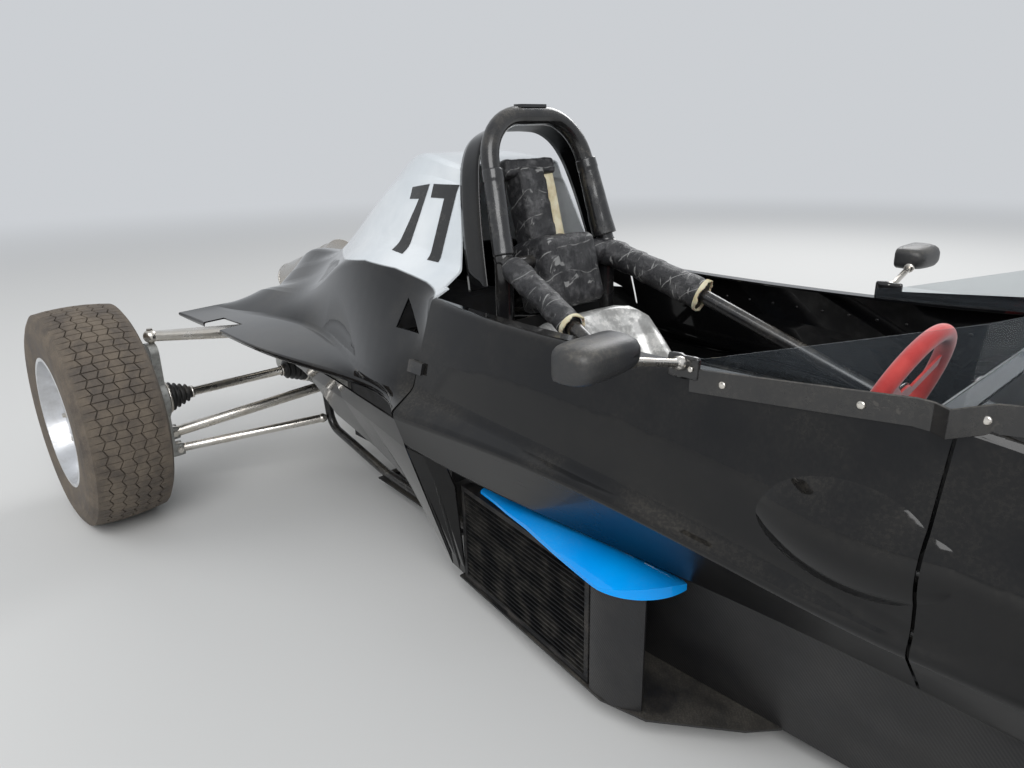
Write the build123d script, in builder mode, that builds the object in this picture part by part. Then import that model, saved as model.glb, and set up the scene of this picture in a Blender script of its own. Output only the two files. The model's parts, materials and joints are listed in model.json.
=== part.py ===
from build123d import *
import os
from math import cos, hypot, radians, sin, tan

os.makedirs("parts", exist_ok=True)

# An open wheel racing car with a space frame, glass fibre body panels, rocker arm suspension
# and an engine behind the driver. +X is forward, +Y is left, +Z is up, in millimetres.
# Stations are distances forward of the rear axle, and at() turns one into X.

# Overall sizes
WHEELBASE = 2450
NOSE_TIP = 3130
TAIL_END = -720
MIDDLE = (NOSE_TIP + TAIL_END) / 2
SEAT = 0.3
PANEL_GAP = 4
BODY_WALL = 4

# Wheels and tyres
REAR_TRACK = 1434
REAR_TYRE_DIAMETER = 565
REAR_TYRE_WIDTH = 200
FRONT_TRACK = 1400
FRONT_TYRE_DIAMETER = 535
FRONT_TYRE_WIDTH = 165
RIM_DIAMETER = 330
RIM_WALL = 5
RIM_LIP = 9
TREAD_SHOULDER = 14
HUB_DIAMETER = 110
DISC_DIAMETER = 240
DISC_THICKNESS = 11
SPOKE_COUNT = 4

# Body stations
NOSE_JOINT = 1850
COVER_JOINT = 925
TAIL_EDGE = -230
FLOOR_Z = 45
FLOOR_SHEET = 4
FLOOR_REAR = 420
FLOOR_FRONT = 2640
TRAY_TOP = 291.7
TRAY_HALF = 262

# Frame tubes
FRAME_FRONT = 2585
RAIL_TUBE = 25
WELD = 3
HOOP_TUBE = 38
BRACE_TUBE = 30
HOOP_HALF = 155
HOOP_FOOT_STATION = 972
HOOP_BEND_Z = 718
HOOP_TOP_STATION = 892
HOOP_TOP_Z = 1006

# Steering
KINGPIN_HALF = 585
STEER_ARM = 100
STEER_EYE_HALF = 572
RACK_Z = 290
RACK_BAR = 22
TRACK_ROD = 16
STEER_WHEEL_STATION = 1680
STEER_WHEEL_Z = 556
STEER_WHEEL_DIAMETER = 270
STEER_WHEEL_GRIP = 26
COLUMN_TUBE = 19
COLUMN_SLOPE = 20

SIDES = (("right", -1), ("left", 1))


def at(station):
    """X of a station, measured forward from the rear axle."""
    return station - MIDDLE


def whole(half):
    """A closed outline from its left half, which runs from the bottom to the top."""
    return half + [(-y, z) for y, z in reversed(half)]


def turn_at(before, corner, after):
    """The angle in degrees that an outline turns through at a corner."""
    way_in = Vector(corner[0] - before[0], corner[1] - before[1])
    way_out = Vector(after[0] - corner[0], after[1] - corner[1])
    return way_in.get_angle(way_out)


def corner_radii(outline, reach):
    """Radii that round each corner of a closed outline over a like length of its sides."""
    radii = []
    for index, corner in enumerate(outline):
        before = outline[index - 1]
        after = outline[(index + 1) % len(outline)]
        shorter = min(hypot(corner[0] - p[0], corner[1] - p[1]) for p in (before, after))
        radii.append(min(reach, 0.4 * shorter) / tan(radians(turn_at(before, corner, after)) / 2))
    return radii


def inset(outline, wall):
    """A closed outline moved inwards by the wall, with its corners kept."""
    moved = []
    for index, corner in enumerate(outline):
        before = outline[index - 1]
        after = outline[(index + 1) % len(outline)]
        way_in = Vector(corner[0] - before[0], corner[1] - before[1]).normalized()
        way_out = Vector(after[0] - corner[0], after[1] - corner[1]).normalized()
        inward = Vector(-way_in.Y - way_out.Y, way_in.X + way_out.X)
        share = wall * 2 / inward.dot(inward)
        moved.append((corner[0] + inward.X * share, corner[1] + inward.Y * share))
    return moved


def rounded_section(station, outline, reach):
    """One rounded cross-section of the body, square to its length."""
    with BuildSketch(Plane.YZ.offset(at(station))) as section:
        with BuildLine():
            FilletPolyline(*outline, radius=corner_radii(outline, reach), close=True)
        make_face()
    return section.sketch


def along(rows, station, column):
    """A value between the rows of a table whose first column is the station."""
    for before, after in zip(rows, rows[1:]):
        if before[0] <= station <= after[0]:
            share = (station - before[0]) / (after[0] - before[0])
            return before[column] + share * (after[column] - before[column])


def bar(start, end, diameter, mode=Mode.ADD):
    """A round bar between two points, each given as station, side and height."""
    first = Vector(at(start[0]), start[1], start[2])
    last = Vector(at(end[0]), end[1], end[2])
    with BuildSketch(Plane(origin=first, z_dir=last - first)) as circle:
        Circle(diameter / 2)
    extrude(circle.sketch, amount=(last - first).length, mode=mode)


def ball(centre, diameter):
    """A round joint at a point given as station, side and height."""
    with Locations((at(centre[0]), centre[1], centre[2])):
        Sphere(diameter / 2)


# Cockpit body
# The hollow centre section, open above for the driver and below over the floor tray.
# Each row is half of a section: the bottom edge, the ridge, the foot of the side,
# the swell for the elbows and the cockpit rim, as a half-width and a height.
COCKPIT_SECTIONS = (
    # station, edge, ridge, shelf, swell, rim
    (COVER_JOINT, (385, 368), (412, 447), (357, 485), (335, 560), (302, 655)),
    (1140, (330, 318), (402, 450), (358, 470), (345, 560), (324, 646)),
    (1400, (290, 296), (390, 444), (358, 455), (350, 550), (327, 645)),
    (1620, (274, 292), (372, 416), (352, 438), (353, 530), (325, 650)),
    (NOSE_JOINT, (272, 292), (354, 390), (348, 418), (366, 510), (318, 665)),
)
BODY_ROUND = 12
RIM_FLANGE = 12
SCUTTLE_DEPTH = 26

# A long bulge on each side makes room for the driver's knuckles. It is a spindle sunk into the
# side, widest just behind the nose joint, and it fades out a little way along the nose.
BULGE_STATION = 1775
BULGE_HALF_LENGTH = 215
BULGE_RADIUS = 92
BULGE_AXIS_HALF = 286
BULGE_AXIS_Z = 502


def bulges(wall):
    """Both spindles, smaller by a wall, to add to a form or to hollow a shell."""
    with BuildPart() as spindles:
        for name, side in SIDES:
            middle = Plane(
                origin=(at(BULGE_STATION), side * BULGE_AXIS_HALF, BULGE_AXIS_Z),
                x_dir=(1, 0, 0), z_dir=(0, -1, 0),
            )
            with BuildSketch(middle) as lens:
                with BuildLine():
                    ThreePointArc(
                        (wall - BULGE_HALF_LENGTH, 0), (0, BULGE_RADIUS - wall), (BULGE_HALF_LENGTH - wall, 0)
                    )
                    Line((wall - BULGE_HALF_LENGTH, 0), (BULGE_HALF_LENGTH - wall, 0))
                make_face()
            revolve(lens.sketch, axis=Axis(middle.origin, (1, 0, 0)))
    return spindles.part


with BuildPart() as cockpit_form:
    loft([rounded_section(row[0], whole(list(row[1:])), BODY_ROUND) for row in COCKPIT_SECTIONS])
    add(bulges(0))
    with Locations((at(NOSE_JOINT + BULGE_HALF_LENGTH), 0, BULGE_AXIS_Z)):
        Box(2 * BULGE_HALF_LENGTH, 1000, 1000, mode=Mode.SUBTRACT)

with BuildPart() as cockpit_body:
    add(cockpit_form.part)
    inner = []
    for row in COCKPIT_SECTIONS:
        hollow = inset(whole(list(row[1:])), BODY_WALL)
        inner.append(rounded_section(row[0], hollow, BODY_ROUND - BODY_WALL))
    loft(inner, mode=Mode.SUBTRACT)
    add(bulges(BODY_WALL), mode=Mode.SUBTRACT)
    with BuildSketch(Plane.XZ) as floor_slot:
        with Locations((at((COVER_JOINT + NOSE_JOINT) / 2), 300)):
            Rectangle(NOSE_JOINT - COVER_JOINT + 2, 200)
    extrude(floor_slot.sketch, amount=TRAY_HALF - 8, both=True, mode=Mode.SUBTRACT)
    with BuildSketch(Plane.XY.offset(600)) as opening:
        with Locations((at((COVER_JOINT + NOSE_JOINT - SCUTTLE_DEPTH) / 2), 0)):
            Rectangle(NOSE_JOINT - COVER_JOINT - SCUTTLE_DEPTH, 2 * (302 - RIM_FLANGE))
    extrude(opening.sketch, amount=100, mode=Mode.SUBTRACT)
cockpit_body.part.label = "cockpit_body"
export_step(cockpit_body.part, "parts/cockpit_body.step")

# Nose cone
# One hollow shell from the cockpit to the tip. Its floor starts where the tray ends.
NOSE_SECTIONS = (
    # station, edge, ridge, shelf, swell, rim
    (NOSE_JOINT + PANEL_GAP, (272, 292), (354, 390), (348, 418), (366, 510), (318, 665)),
    (2100, (246, 262), (300, 350), (304, 390), (306, 470), (258, 606)),
    (2450, (190, 205), (226, 270), (232, 310), (226, 380), (176, 486)),
    (2800, (140, 165), (168, 200), (172, 230), (166, 280), (126, 352)),
    (NOSE_TIP, (90, 150), (108, 166), (112, 184), (108, 210), (84, 240)),
)
NOSE_TIP_WALL = 12
ARM_SLOTS = (
    # station, height, length and height of the slot through both sides
    (WHEELBASE, 428, 130, 64),
    (WHEELBASE - STEER_ARM, RACK_Z, 44, 36),
)

with BuildPart() as nose_form:
    loft([rounded_section(row[0], whole(list(row[1:])), BODY_ROUND) for row in NOSE_SECTIONS])
    add(bulges(0))
    with Locations((at(NOSE_JOINT + PANEL_GAP - BULGE_HALF_LENGTH), 0, BULGE_AXIS_Z)):
        Box(2 * BULGE_HALF_LENGTH, 1000, 1000, mode=Mode.SUBTRACT)

with BuildPart() as nose_cone:
    add(nose_form.part)
    inner = []
    for row in NOSE_SECTIONS:
        hollow = inset(whole(list(row[1:])), BODY_WALL)
        station = min(row[0], NOSE_TIP - NOSE_TIP_WALL)
        inner.append(rounded_section(station, hollow, BODY_ROUND - BODY_WALL))
    loft(inner, mode=Mode.SUBTRACT)
    add(bulges(BODY_WALL), mode=Mode.SUBTRACT)
    with BuildSketch(Plane.XY.offset(560)) as screen_opening:
        with Locations((at(1930), 0)):
            RectangleRounded(260, 470, 60)
    extrude(screen_opening.sketch, amount=200, mode=Mode.SUBTRACT)
    with BuildSketch(Plane.XZ) as open_floor:
        with BuildLine():
            Polyline(
                (at(NOSE_JOINT), 330), (at(2100), 280), (at(FLOOR_FRONT), 200),
                (at(FLOOR_FRONT), 100), (at(NOSE_JOINT), 100), close=True,
            )
        make_face()
    extrude(open_floor.sketch, amount=TRAY_HALF - 90, both=True, mode=Mode.SUBTRACT)
    for station, z, length, height in ARM_SLOTS:
        with Locations((at(station), 0, z)):
            Box(length, 700, height, mode=Mode.SUBTRACT)
nose_cone.part.label = "nose_cone"
export_step(nose_cone.part, "parts/nose_cone.step")

# Floor tray
# The driver's floor: a folded U-shaped tray below the body, with a flat plate under the engine.
TRAY_SECTIONS = (
    # station, half-width at the floor, half-width and height at the top
    (COVER_JOINT, 200, 234, TRAY_TOP),
    (1400, 202, TRAY_HALF, TRAY_TOP),
    (NOSE_JOINT, 190, TRAY_HALF, TRAY_TOP),
    (FLOOR_FRONT, 106, 146, 172),
)
ENGINE_FLOOR_HALF = 150
ARM_SLOT_LENGTH = 80
REAR_LEG_STATION = 2330
FRONT_LEG_STATION = FRAME_FRONT - 20

with BuildPart() as floor_tray:
    for sheet in (0, FLOOR_SHEET):
        folds = []
        for station, foot, top_half, top_z in TRAY_SECTIONS:
            with BuildSketch(Plane.YZ.offset(at(station)), mode=Mode.PRIVATE) as fold:
                with BuildLine():
                    Polyline(
                        (foot - sheet, FLOOR_Z + sheet), (top_half - sheet, top_z + sheet),
                        (sheet - top_half, top_z + sheet), (sheet - foot, FLOOR_Z + sheet), close=True,
                    )
                make_face()
            folds.append(fold.sketch)
        loft(folds, ruled=True, mode=Mode.SUBTRACT if sheet else Mode.ADD)
    with BuildSketch(Plane.XY.offset(FLOOR_Z)) as engine_floor:
        with BuildLine():
            Polyline(
                (at(FLOOR_REAR), ENGINE_FLOOR_HALF), (at(COVER_JOINT), 184),
                (at(COVER_JOINT), -184), (at(FLOOR_REAR), -ENGINE_FLOOR_HALF), close=True,
            )
        make_face()
    extrude(amount=FLOOR_SHEET)
    for station in (REAR_LEG_STATION, FRONT_LEG_STATION):
        with Locations((at(station), 0, FLOOR_Z + FLOOR_SHEET + 21)):
            Box(ARM_SLOT_LENGTH, 400, 40, mode=Mode.SUBTRACT)
floor_tray.part.label = "floor_tray"
export_step(floor_tray.part, "parts/floor_tray.step")

# Engine cover
# An inverted tray with a ledge along each side that widens into the flat tail shelf, and
# a tall air box that falls away behind the roll hoop.
COVER_SECTIONS = (
    # station, ledge underside, ledge edge, shelf, side, neck, crown, top
    (TAIL_EDGE, (400, 450), (402, 460), (300, 464), (150, 468), (100, 471), (60, 474), (25, 477)),
    (60, (398, 446), (402, 460), (250, 470), (155, 528), (110, 562), (70, 604), (24, 630)),
    (300, (402, 446), (408, 460), (240, 477), (190, 600), (140, 648), (88, 704), (30, 729)),
    (460, (388, 442), (394, 459), (268, 477), (222, 662), (168, 706), (108, 800), (46, 850)),
    (585, (370, 440), (376, 458), (306, 478), (238, 682), (184, 726), (128, 850), (80, 907)),
    (COVER_JOINT - PANEL_GAP, (406, 434), (412, 450), (357, 485), (298, 652), (205, 690), (142, 840), (100, 912)),
)
COVER_ROUND = 10
COVER_SKIRT = 30
ARM_NOTCH_STATIONS = (-52, 78)
ARM_NOTCH_HALF = 335
EXHAUST_CUT_STATIONS = (-162, 236)
EXHAUST_CUT_HALF = 207
EXHAUST_CUT_SPAN = 110
EXHAUST_CUT_Z = 510
SCOOP = ((800, 577), (896, 582), (800, 634))
SCOOP_HALF = 360
FAIRING_REAR_STATION = 898
HOOP_LEAN = (HOOP_FOOT_STATION - HOOP_TOP_STATION) / (HOOP_TOP_Z - HOOP_TUBE / 2 - HOOP_BEND_Z)

with BuildPart() as engine_cover:
    outer = [rounded_section(row[0], whole(list(row[1:])), COVER_ROUND) for row in COVER_SECTIONS]
    loft(outer)
    inner = []
    for row in COVER_SECTIONS:
        hollow = inset(whole(list(row[1:])), BODY_WALL)
        foot = hollow[0]
        hollow[0] = (foot[0], foot[1] - COVER_SKIRT)
        hollow[-1] = (-foot[0], foot[1] - COVER_SKIRT)
        inner.append(rounded_section(row[0], hollow, COVER_ROUND - BODY_WALL))
    loft(inner, mode=Mode.SUBTRACT)
    for name, side in SIDES:
        with BuildSketch(Plane.XY.offset(400)) as arm_notch:
            with Locations((at(sum(ARM_NOTCH_STATIONS) / 2), side * (ARM_NOTCH_HALF + 50))):
                Rectangle(ARM_NOTCH_STATIONS[1] - ARM_NOTCH_STATIONS[0], 100)
        extrude(arm_notch.sketch, amount=100, mode=Mode.SUBTRACT)
    with Locations((at(sum(EXHAUST_CUT_STATIONS) / 2), EXHAUST_CUT_HALF, EXHAUST_CUT_Z)):
        Box(
            EXHAUST_CUT_STATIONS[1] - EXHAUST_CUT_STATIONS[0],
            EXHAUST_CUT_SPAN, EXHAUST_CUT_SPAN, mode=Mode.SUBTRACT,
        )
    with BuildSketch(Plane.XZ):
        with BuildLine():
            Polyline(*[(at(station), z) for station, z in SCOOP], close=True)
        make_face()
    extrude(amount=SCOOP_HALF, both=True, mode=Mode.SUBTRACT)
    with BuildSketch(Plane.XZ) as hoop_cut:
        with BuildLine():
            Polyline(
                (at(FAIRING_REAR_STATION), 665),
                (at(FAIRING_REAR_STATION - HOOP_LEAN * 300), 965),
                (at(COVER_JOINT + 20), 965), (at(COVER_JOINT + 20), 665), close=True,
            )
        make_face()
    extrude(hoop_cut.sketch, amount=320, both=True, mode=Mode.SUBTRACT)
engine_cover.part.label = "engine_cover"
export_step(engine_cover.part, "parts/engine_cover.step")

# Hoop fairing
# A thin band wrapped round the back of the roll hoop, square to the leaning hoop.
FAIRING_DEPTH = 62

hoop_plane = Plane(
    origin=(at(HOOP_FOOT_STATION), 0, HOOP_BEND_Z),
    x_dir=(0, 1, 0),
    z_dir=Vector(1, 0, HOOP_LEAN),
)
HOOP_RISE = hypot(HOOP_TOP_Z - HOOP_TUBE / 2 - HOOP_BEND_Z, HOOP_FOOT_STATION - HOOP_TOP_STATION)
HOOP_BACK = HOOP_TUBE / 2 + SEAT
with BuildPart() as hoop_fairing:
    with BuildSketch(hoop_plane.offset(-HOOP_BACK - FAIRING_DEPTH)) as band:
        with BuildLine():
            Polyline((-196, -50), (-172, 60), (-140, 190), (-100, HOOP_RISE - 8))
            Polyline((196, -50), (172, 60), (140, 190), (100, HOOP_RISE - 8))
            Line((-196, -50), (196, -50))
            Line((-100, HOOP_RISE - 8), (100, HOOP_RISE - 8))
        make_face()
        fillet(band.vertices().filter_by_position(Axis.Z, 800, 1100), 60)
    extrude(band.sketch, amount=FAIRING_DEPTH)
    with BuildSketch(hoop_plane.offset(-HOOP_BACK - FAIRING_DEPTH)) as hollow_band:
        with BuildLine():
            Polyline((-193, -52), (-169, 59), (-137, 189), (-98, HOOP_RISE - 11))
            Polyline((193, -52), (169, 59), (137, 189), (98, HOOP_RISE - 11))
            Line((-193, -52), (193, -52))
            Line((-98, HOOP_RISE - 11), (98, HOOP_RISE - 11))
        make_face()
        fillet(hollow_band.vertices().filter_by_position(Axis.Z, 800, 1100), 58)
    extrude(hollow_band.sketch, amount=FAIRING_DEPTH, mode=Mode.SUBTRACT)
hoop_fairing.part.label = "hoop_fairing"
export_step(hoop_fairing.part, "parts/hoop_fairing.step")

# Space frame
# Bent round tubes: one runs from each hoop leg round the engine bay and along the floor to
# the front bulkhead, one carries the cockpit sides, and straight uprights join them.
RAIL_Z = FLOOR_Z + FLOOR_SHEET + RAIL_TUBE / 2 + SEAT
CROSS_TUBE = 20
TOP_RAIL_Z = 440
TOP_RAIL_HALF = 275
NOSE_ROCKER_HALF = 150
ENGINE_MOUNT_Z = 497
NOSE_ROCKER_Z = 420
ROCKER_POST = 22
BAY_REAR = 140
LOWER_TUBE = (
    # station, half-width, height, bend radius
    (HOOP_FOOT_STATION, HOOP_HALF, 560, 0),
    (BAY_REAR, 150, 420, 50),
    (BAY_REAR, 128, 120, 50),
    (430, 132, RAIL_Z, 200),
    (950, 172, RAIL_Z, 400),
    (NOSE_JOINT, 164, RAIL_Z, 400),
    (FRAME_FRONT, 80, RAIL_Z, 50),
)
UPPER_TUBE = (
    # station, half-width, height, bend radius
    (940, TOP_RAIL_HALF, TOP_RAIL_Z, 0),
    (NOSE_JOINT - 20, TOP_RAIL_HALF, TOP_RAIL_Z, 300),
    (2150, 222, 400, 300),
    (FRAME_FRONT, 118, 300, 50),
)
CROSS_TUBES = (
    # from station, half-width, height to station, half-width, height; the second on the same side
    (1400, 168, RAIL_Z, 1400, TOP_RAIL_HALF, TOP_RAIL_Z),
    (NOSE_JOINT - 40, 164, RAIL_Z, NOSE_JOINT - 40, TOP_RAIL_HALF, TOP_RAIL_Z),
    (FRAME_FRONT - 65, 88, RAIL_Z, FRAME_FRONT - 65, 133, 315),
    (HOOP_FOOT_STATION, HOOP_HALF, TOP_RAIL_Z, HOOP_FOOT_STATION, TOP_RAIL_HALF, TOP_RAIL_Z),
)


def tube_run(rows, diameter):
    """A bent tube along the left side, across the front and back along the right side."""
    left = [(at(station), half, z) for station, half, z, radius in rows]
    right = [(x, -y, z) for x, y, z in reversed(left)]
    bends = [row[3] for row in rows[1:]]
    with BuildLine() as run:
        FilletPolyline(*left, *right, radius=bends + bends[::-1])
    with BuildSketch(Plane(origin=run.line @ 0, z_dir=run.line % 0)) as circle:
        Circle(diameter / 2)
    sweep(circle.sketch, path=run.line)


with BuildPart() as space_frame:
    tube_run(LOWER_TUBE, RAIL_TUBE)
    tube_run(UPPER_TUBE, RAIL_TUBE)
    for first, low_half, low_z, last, high_half, high_z in CROSS_TUBES:
        for name, side in SIDES:
            bar((first, side * low_half, low_z), (last, side * high_half, high_z), CROSS_TUBE)
    for name, side in SIDES:
        bar((600, side * 153, ENGINE_MOUNT_Z), (600, side * (105 + SEAT), ENGINE_MOUNT_Z), CROSS_TUBE)
        post = (WHEELBASE, side * along(UPPER_TUBE, WHEELBASE, 1), along(UPPER_TUBE, WHEELBASE, 2))
        bar(post, (WHEELBASE, side * (NOSE_ROCKER_HALF + 4), NOSE_ROCKER_Z - 14 - 3 * SEAT), ROCKER_POST)
    for station, half, z in ((450, 132, RAIL_Z), (HOOP_FOOT_STATION, 171, RAIL_Z)):
        bar((station, -half, z), (station, half, z), CROSS_TUBE)

# Roll hoop
# One bent tube whose arch leans back, with a forward brace from each leg to the top rail,
# a harness tube behind the driver and a drilled bracket on its crown.
HOOP_ARCH_HALF = 128
HOOP_ARCH_RADIUS = 104
HARNESS_Z = 702
BRACE_FRONT_STATION = 1640
BRACKET_LENGTH = 76
BRACKET_WIDTH = 26
BRACKET_THICKNESS = 6
BRACKET_HOLE = 8.5
BRACKET_PITCH = 50
BRACKET_SINK = 3

with BuildPart() as roll_hoop:
    with BuildLine(hoop_plane) as arch:
        FilletPolyline(
            (-HOOP_HALF, 0), (-HOOP_ARCH_HALF, HOOP_RISE), (HOOP_ARCH_HALF, HOOP_RISE), (HOOP_HALF, 0),
            radius=HOOP_ARCH_RADIUS,
        )
    with BuildSketch(Plane(origin=arch.line @ 0, z_dir=arch.line % 0)):
        Circle(HOOP_TUBE / 2)
    sweep(path=arch.line)
    for name, side in SIDES:
        leg_bend = (HOOP_FOOT_STATION, side * HOOP_HALF, HOOP_BEND_Z)
        bar((HOOP_FOOT_STATION, side * HOOP_HALF, RAIL_Z), leg_bend, HOOP_TUBE)
        ball(leg_bend, HOOP_TUBE + WELD)
        bar(leg_bend, (BRACE_FRONT_STATION, side * TOP_RAIL_HALF, TOP_RAIL_Z), BRACE_TUBE)
    bar((HOOP_FOOT_STATION, -HOOP_HALF, HARNESS_Z), (HOOP_FOOT_STATION, HOOP_HALF, HARNESS_Z), BRACE_TUBE)
    add(space_frame.part)
    with BuildSketch(Plane.XY.offset(HOOP_TOP_Z - BRACKET_SINK)):
        with Locations((at(HOOP_TOP_STATION), 0)):
            RectangleRounded(BRACKET_WIDTH, BRACKET_LENGTH, 6)
    extrude(amount=BRACKET_THICKNESS)
    with BuildSketch(Plane.XY.offset(HOOP_TOP_Z - BRACKET_SINK)):
        with Locations(*[(at(HOOP_TOP_STATION), side * BRACKET_PITCH / 2) for name, side in SIDES]):
            Circle(BRACKET_HOLE / 2)
    extrude(amount=BRACKET_THICKNESS, mode=Mode.SUBTRACT)
roll_hoop.part.label = "frame_and_hoop"
export_step(roll_hoop.part, "parts/frame_and_hoop.step")

# Hoop pads
# Taped foam sleeves round the braces and the left half of the harness tube.
PAD_SLEEVES = (
    # side, share of the brace where it starts and ends, diameter
    (-1, 0.09, 0.33, 46),
    (1, 0.10, 0.34, 66),
)
with BuildPart() as hoop_pads:
    for side, first, last, diameter in PAD_SLEEVES:
        foot = Vector(HOOP_FOOT_STATION, side * HOOP_HALF, HOOP_BEND_Z)
        run = Vector(BRACE_FRONT_STATION, side * TOP_RAIL_HALF, TOP_RAIL_Z) - foot
        start = tuple(foot + run * first)
        end = tuple(foot + run * last)
        bar(start, end, diameter)
        bar(start, end, BRACE_TUBE + 2 * SEAT, mode=Mode.SUBTRACT)
hoop_pads.part.label = "hoop_pads"
export_step(hoop_pads.part, "parts/hoop_pads.step")

# Headrest
# A padded column with a top bar and a deep lower block, all leaning with the hoop.
HEADREST_PIECES = (
    # centre across, centre up the hoop, width, height, depth back face, depth front face
    (0, -72, 150, 86, -70, 40),
    (-4, 70, 64, 198, -78, -26),
    (50, 70, 42, 198, -92, -58),
    (0, 180, 136, 24, -96, -40),
)
with BuildPart() as headrest:
    for across, up, width, height, back, front in HEADREST_PIECES:
        with BuildSketch(hoop_plane.offset(back)):
            with Locations((across, up)):
                Rectangle(width, height)
        extrude(amount=front - back)
    bar((HOOP_FOOT_STATION, -HOOP_HALF, HARNESS_Z), (HOOP_FOOT_STATION, HOOP_HALF, HARNESS_Z),
        BRACE_TUBE + 2 * SEAT, mode=Mode.SUBTRACT)
headrest.part.label = "headrest"
export_step(headrest.part, "parts/headrest.step")

# Driver's seat
# A moulded seat: a reclined back and a pan, with a low wall along each side.
SEAT_HALF = 150
SEAT_BASE_Z = FLOOR_Z + FLOOR_SHEET + SEAT
SEAT_WALL = 26
with BuildPart() as driver_seat:
    for name, across in (("back and pan", 0), ("right wall", -1), ("left wall", 1)):
        lift = 70 if across else 0
        width = SEAT_WALL if across else 2 * SEAT_HALF
        with BuildSketch(Plane.XZ.offset(-across * (SEAT_HALF - SEAT_WALL / 2) - width / 2)):
            with BuildLine():
                Polyline(
                    (at(1000), 590), (at(1055 + lift), 590), (at(1330 + lift), 150 + lift), (at(1640), 170 + lift),
                    (at(1650), 110), (at(1270), SEAT_BASE_Z), close=True,
                )
            make_face()
        extrude(amount=width)
driver_seat.part.label = "driver_seat"
export_step(driver_seat.part, "parts/driver_seat.step")

# Firewall behind the seat
with BuildPart() as firewall:
    with BuildSketch(Plane.YZ.offset(at(HOOP_FOOT_STATION))):
        with Locations((0, 335)):
            Rectangle(2 * (HOOP_HALF - HOOP_TUBE / 2 - SEAT), 505)
    extrude(amount=-3)
firewall.part.label = "firewall"
export_step(firewall.part, "parts/firewall.step")

# Windscreen
# A clear curved screen wrapped round the front of the cockpit, standing on the rim and the
# nose, with its top edge rising forward.
SCREEN_SHEET = 3
SCREEN_REAR = 1510
SCREEN_BEND = 1850
SCREEN_LEVELS = (
    # height, half-width, front station
    (590, 312, 2120),
    (670, 312, 2060),
    (800, 252, 1965),
)
SCREEN_TRIM = ((1490, 660), (1540, 664), (1990, 800), (1990, 900), (1490, 900))
with BuildPart() as windscreen:
    for sheet in (0, SCREEN_SHEET):
        levels = []
        for z, half, front in SCREEN_LEVELS:
            with BuildSketch(Plane.XY.offset(z), mode=Mode.PRIVATE) as level:
                with BuildLine():
                    Line((at(SCREEN_REAR), sheet - half), (at(SCREEN_REAR), half - sheet))
                    Line((at(SCREEN_REAR), half - sheet), (at(SCREEN_BEND), half - sheet))
                    ThreePointArc(
                        (at(SCREEN_BEND), half - sheet), (at(front - sheet), 0), (at(SCREEN_BEND), sheet - half)
                    )
                    Line((at(SCREEN_BEND), sheet - half), (at(SCREEN_REAR), sheet - half))
                make_face()
            levels.append(level.sketch)
        loft(levels, ruled=True, mode=Mode.SUBTRACT if sheet else Mode.ADD)
    with Locations((at(SCREEN_REAR), 0, 700)):
        Box(12, 2 * (312 - SCREEN_SHEET), 300, mode=Mode.SUBTRACT)
    with BuildSketch(Plane.XZ):
        with BuildLine():
            Polyline(*[(at(station), z) for station, z in SCREEN_TRIM], close=True)
        make_face()
    extrude(amount=400, both=True, mode=Mode.SUBTRACT)
    with Locations((0, 0, SEAT)):
        add(cockpit_form.part, mode=Mode.SUBTRACT)
        add(nose_form.part, mode=Mode.SUBTRACT)
    with Locations((at(NOSE_JOINT + PANEL_GAP / 2), 0, 600)):
        Box(PANEL_GAP + 2, 700, 140, mode=Mode.SUBTRACT)
windscreen.part.label = "windscreen"
export_step(windscreen.part, "parts/windscreen.step")

# Dash panel, with a bush for the steering column
wheel_plane = Plane(
    origin=(at(STEER_WHEEL_STATION), 0, STEER_WHEEL_Z),
    x_dir=(0, 1, 0),
    z_dir=(-cos(radians(COLUMN_SLOPE)), 0, sin(radians(COLUMN_SLOPE))),
)
DASH_STATION = 1790
DASH_REACH = (DASH_STATION - STEER_WHEEL_STATION) / cos(radians(COLUMN_SLOPE))
DASH_HALF = TOP_RAIL_HALF - RAIL_TUBE / 2 - SEAT
with BuildPart() as dash_panel:
    with BuildSketch(Plane.YZ.offset(at(DASH_STATION))):
        with Locations((0, 518)):
            RectangleRounded(2 * DASH_HALF, 216, 24)
    extrude(amount=3)
    with BuildSketch(wheel_plane.offset(-DASH_REACH - 12)):
        Circle(COLUMN_TUBE / 2 + 6)
    extrude(amount=24)
    with BuildSketch(wheel_plane.offset(-DASH_REACH - 20)):
        Circle(COLUMN_TUBE / 2 + SEAT)
    extrude(amount=40, mode=Mode.SUBTRACT)
dash_panel.part.label = "dash_panel"
export_step(dash_panel.part, "parts/dash_panel.step")

# Gear lever on the right of the cockpit
with BuildPart() as gear_lever:
    bar((1700, -252, TOP_RAIL_Z), (1700, -226, 540), 12)
    ball((1700, -224, 546), 34)
    with Locations((at(1700), -(TOP_RAIL_HALF - RAIL_TUBE / 2 - SEAT - 7), TOP_RAIL_Z)):
        Box(50, 14, 50)
gear_lever.part.label = "gear_lever"
export_step(gear_lever.part, "parts/gear_lever.step")

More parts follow.
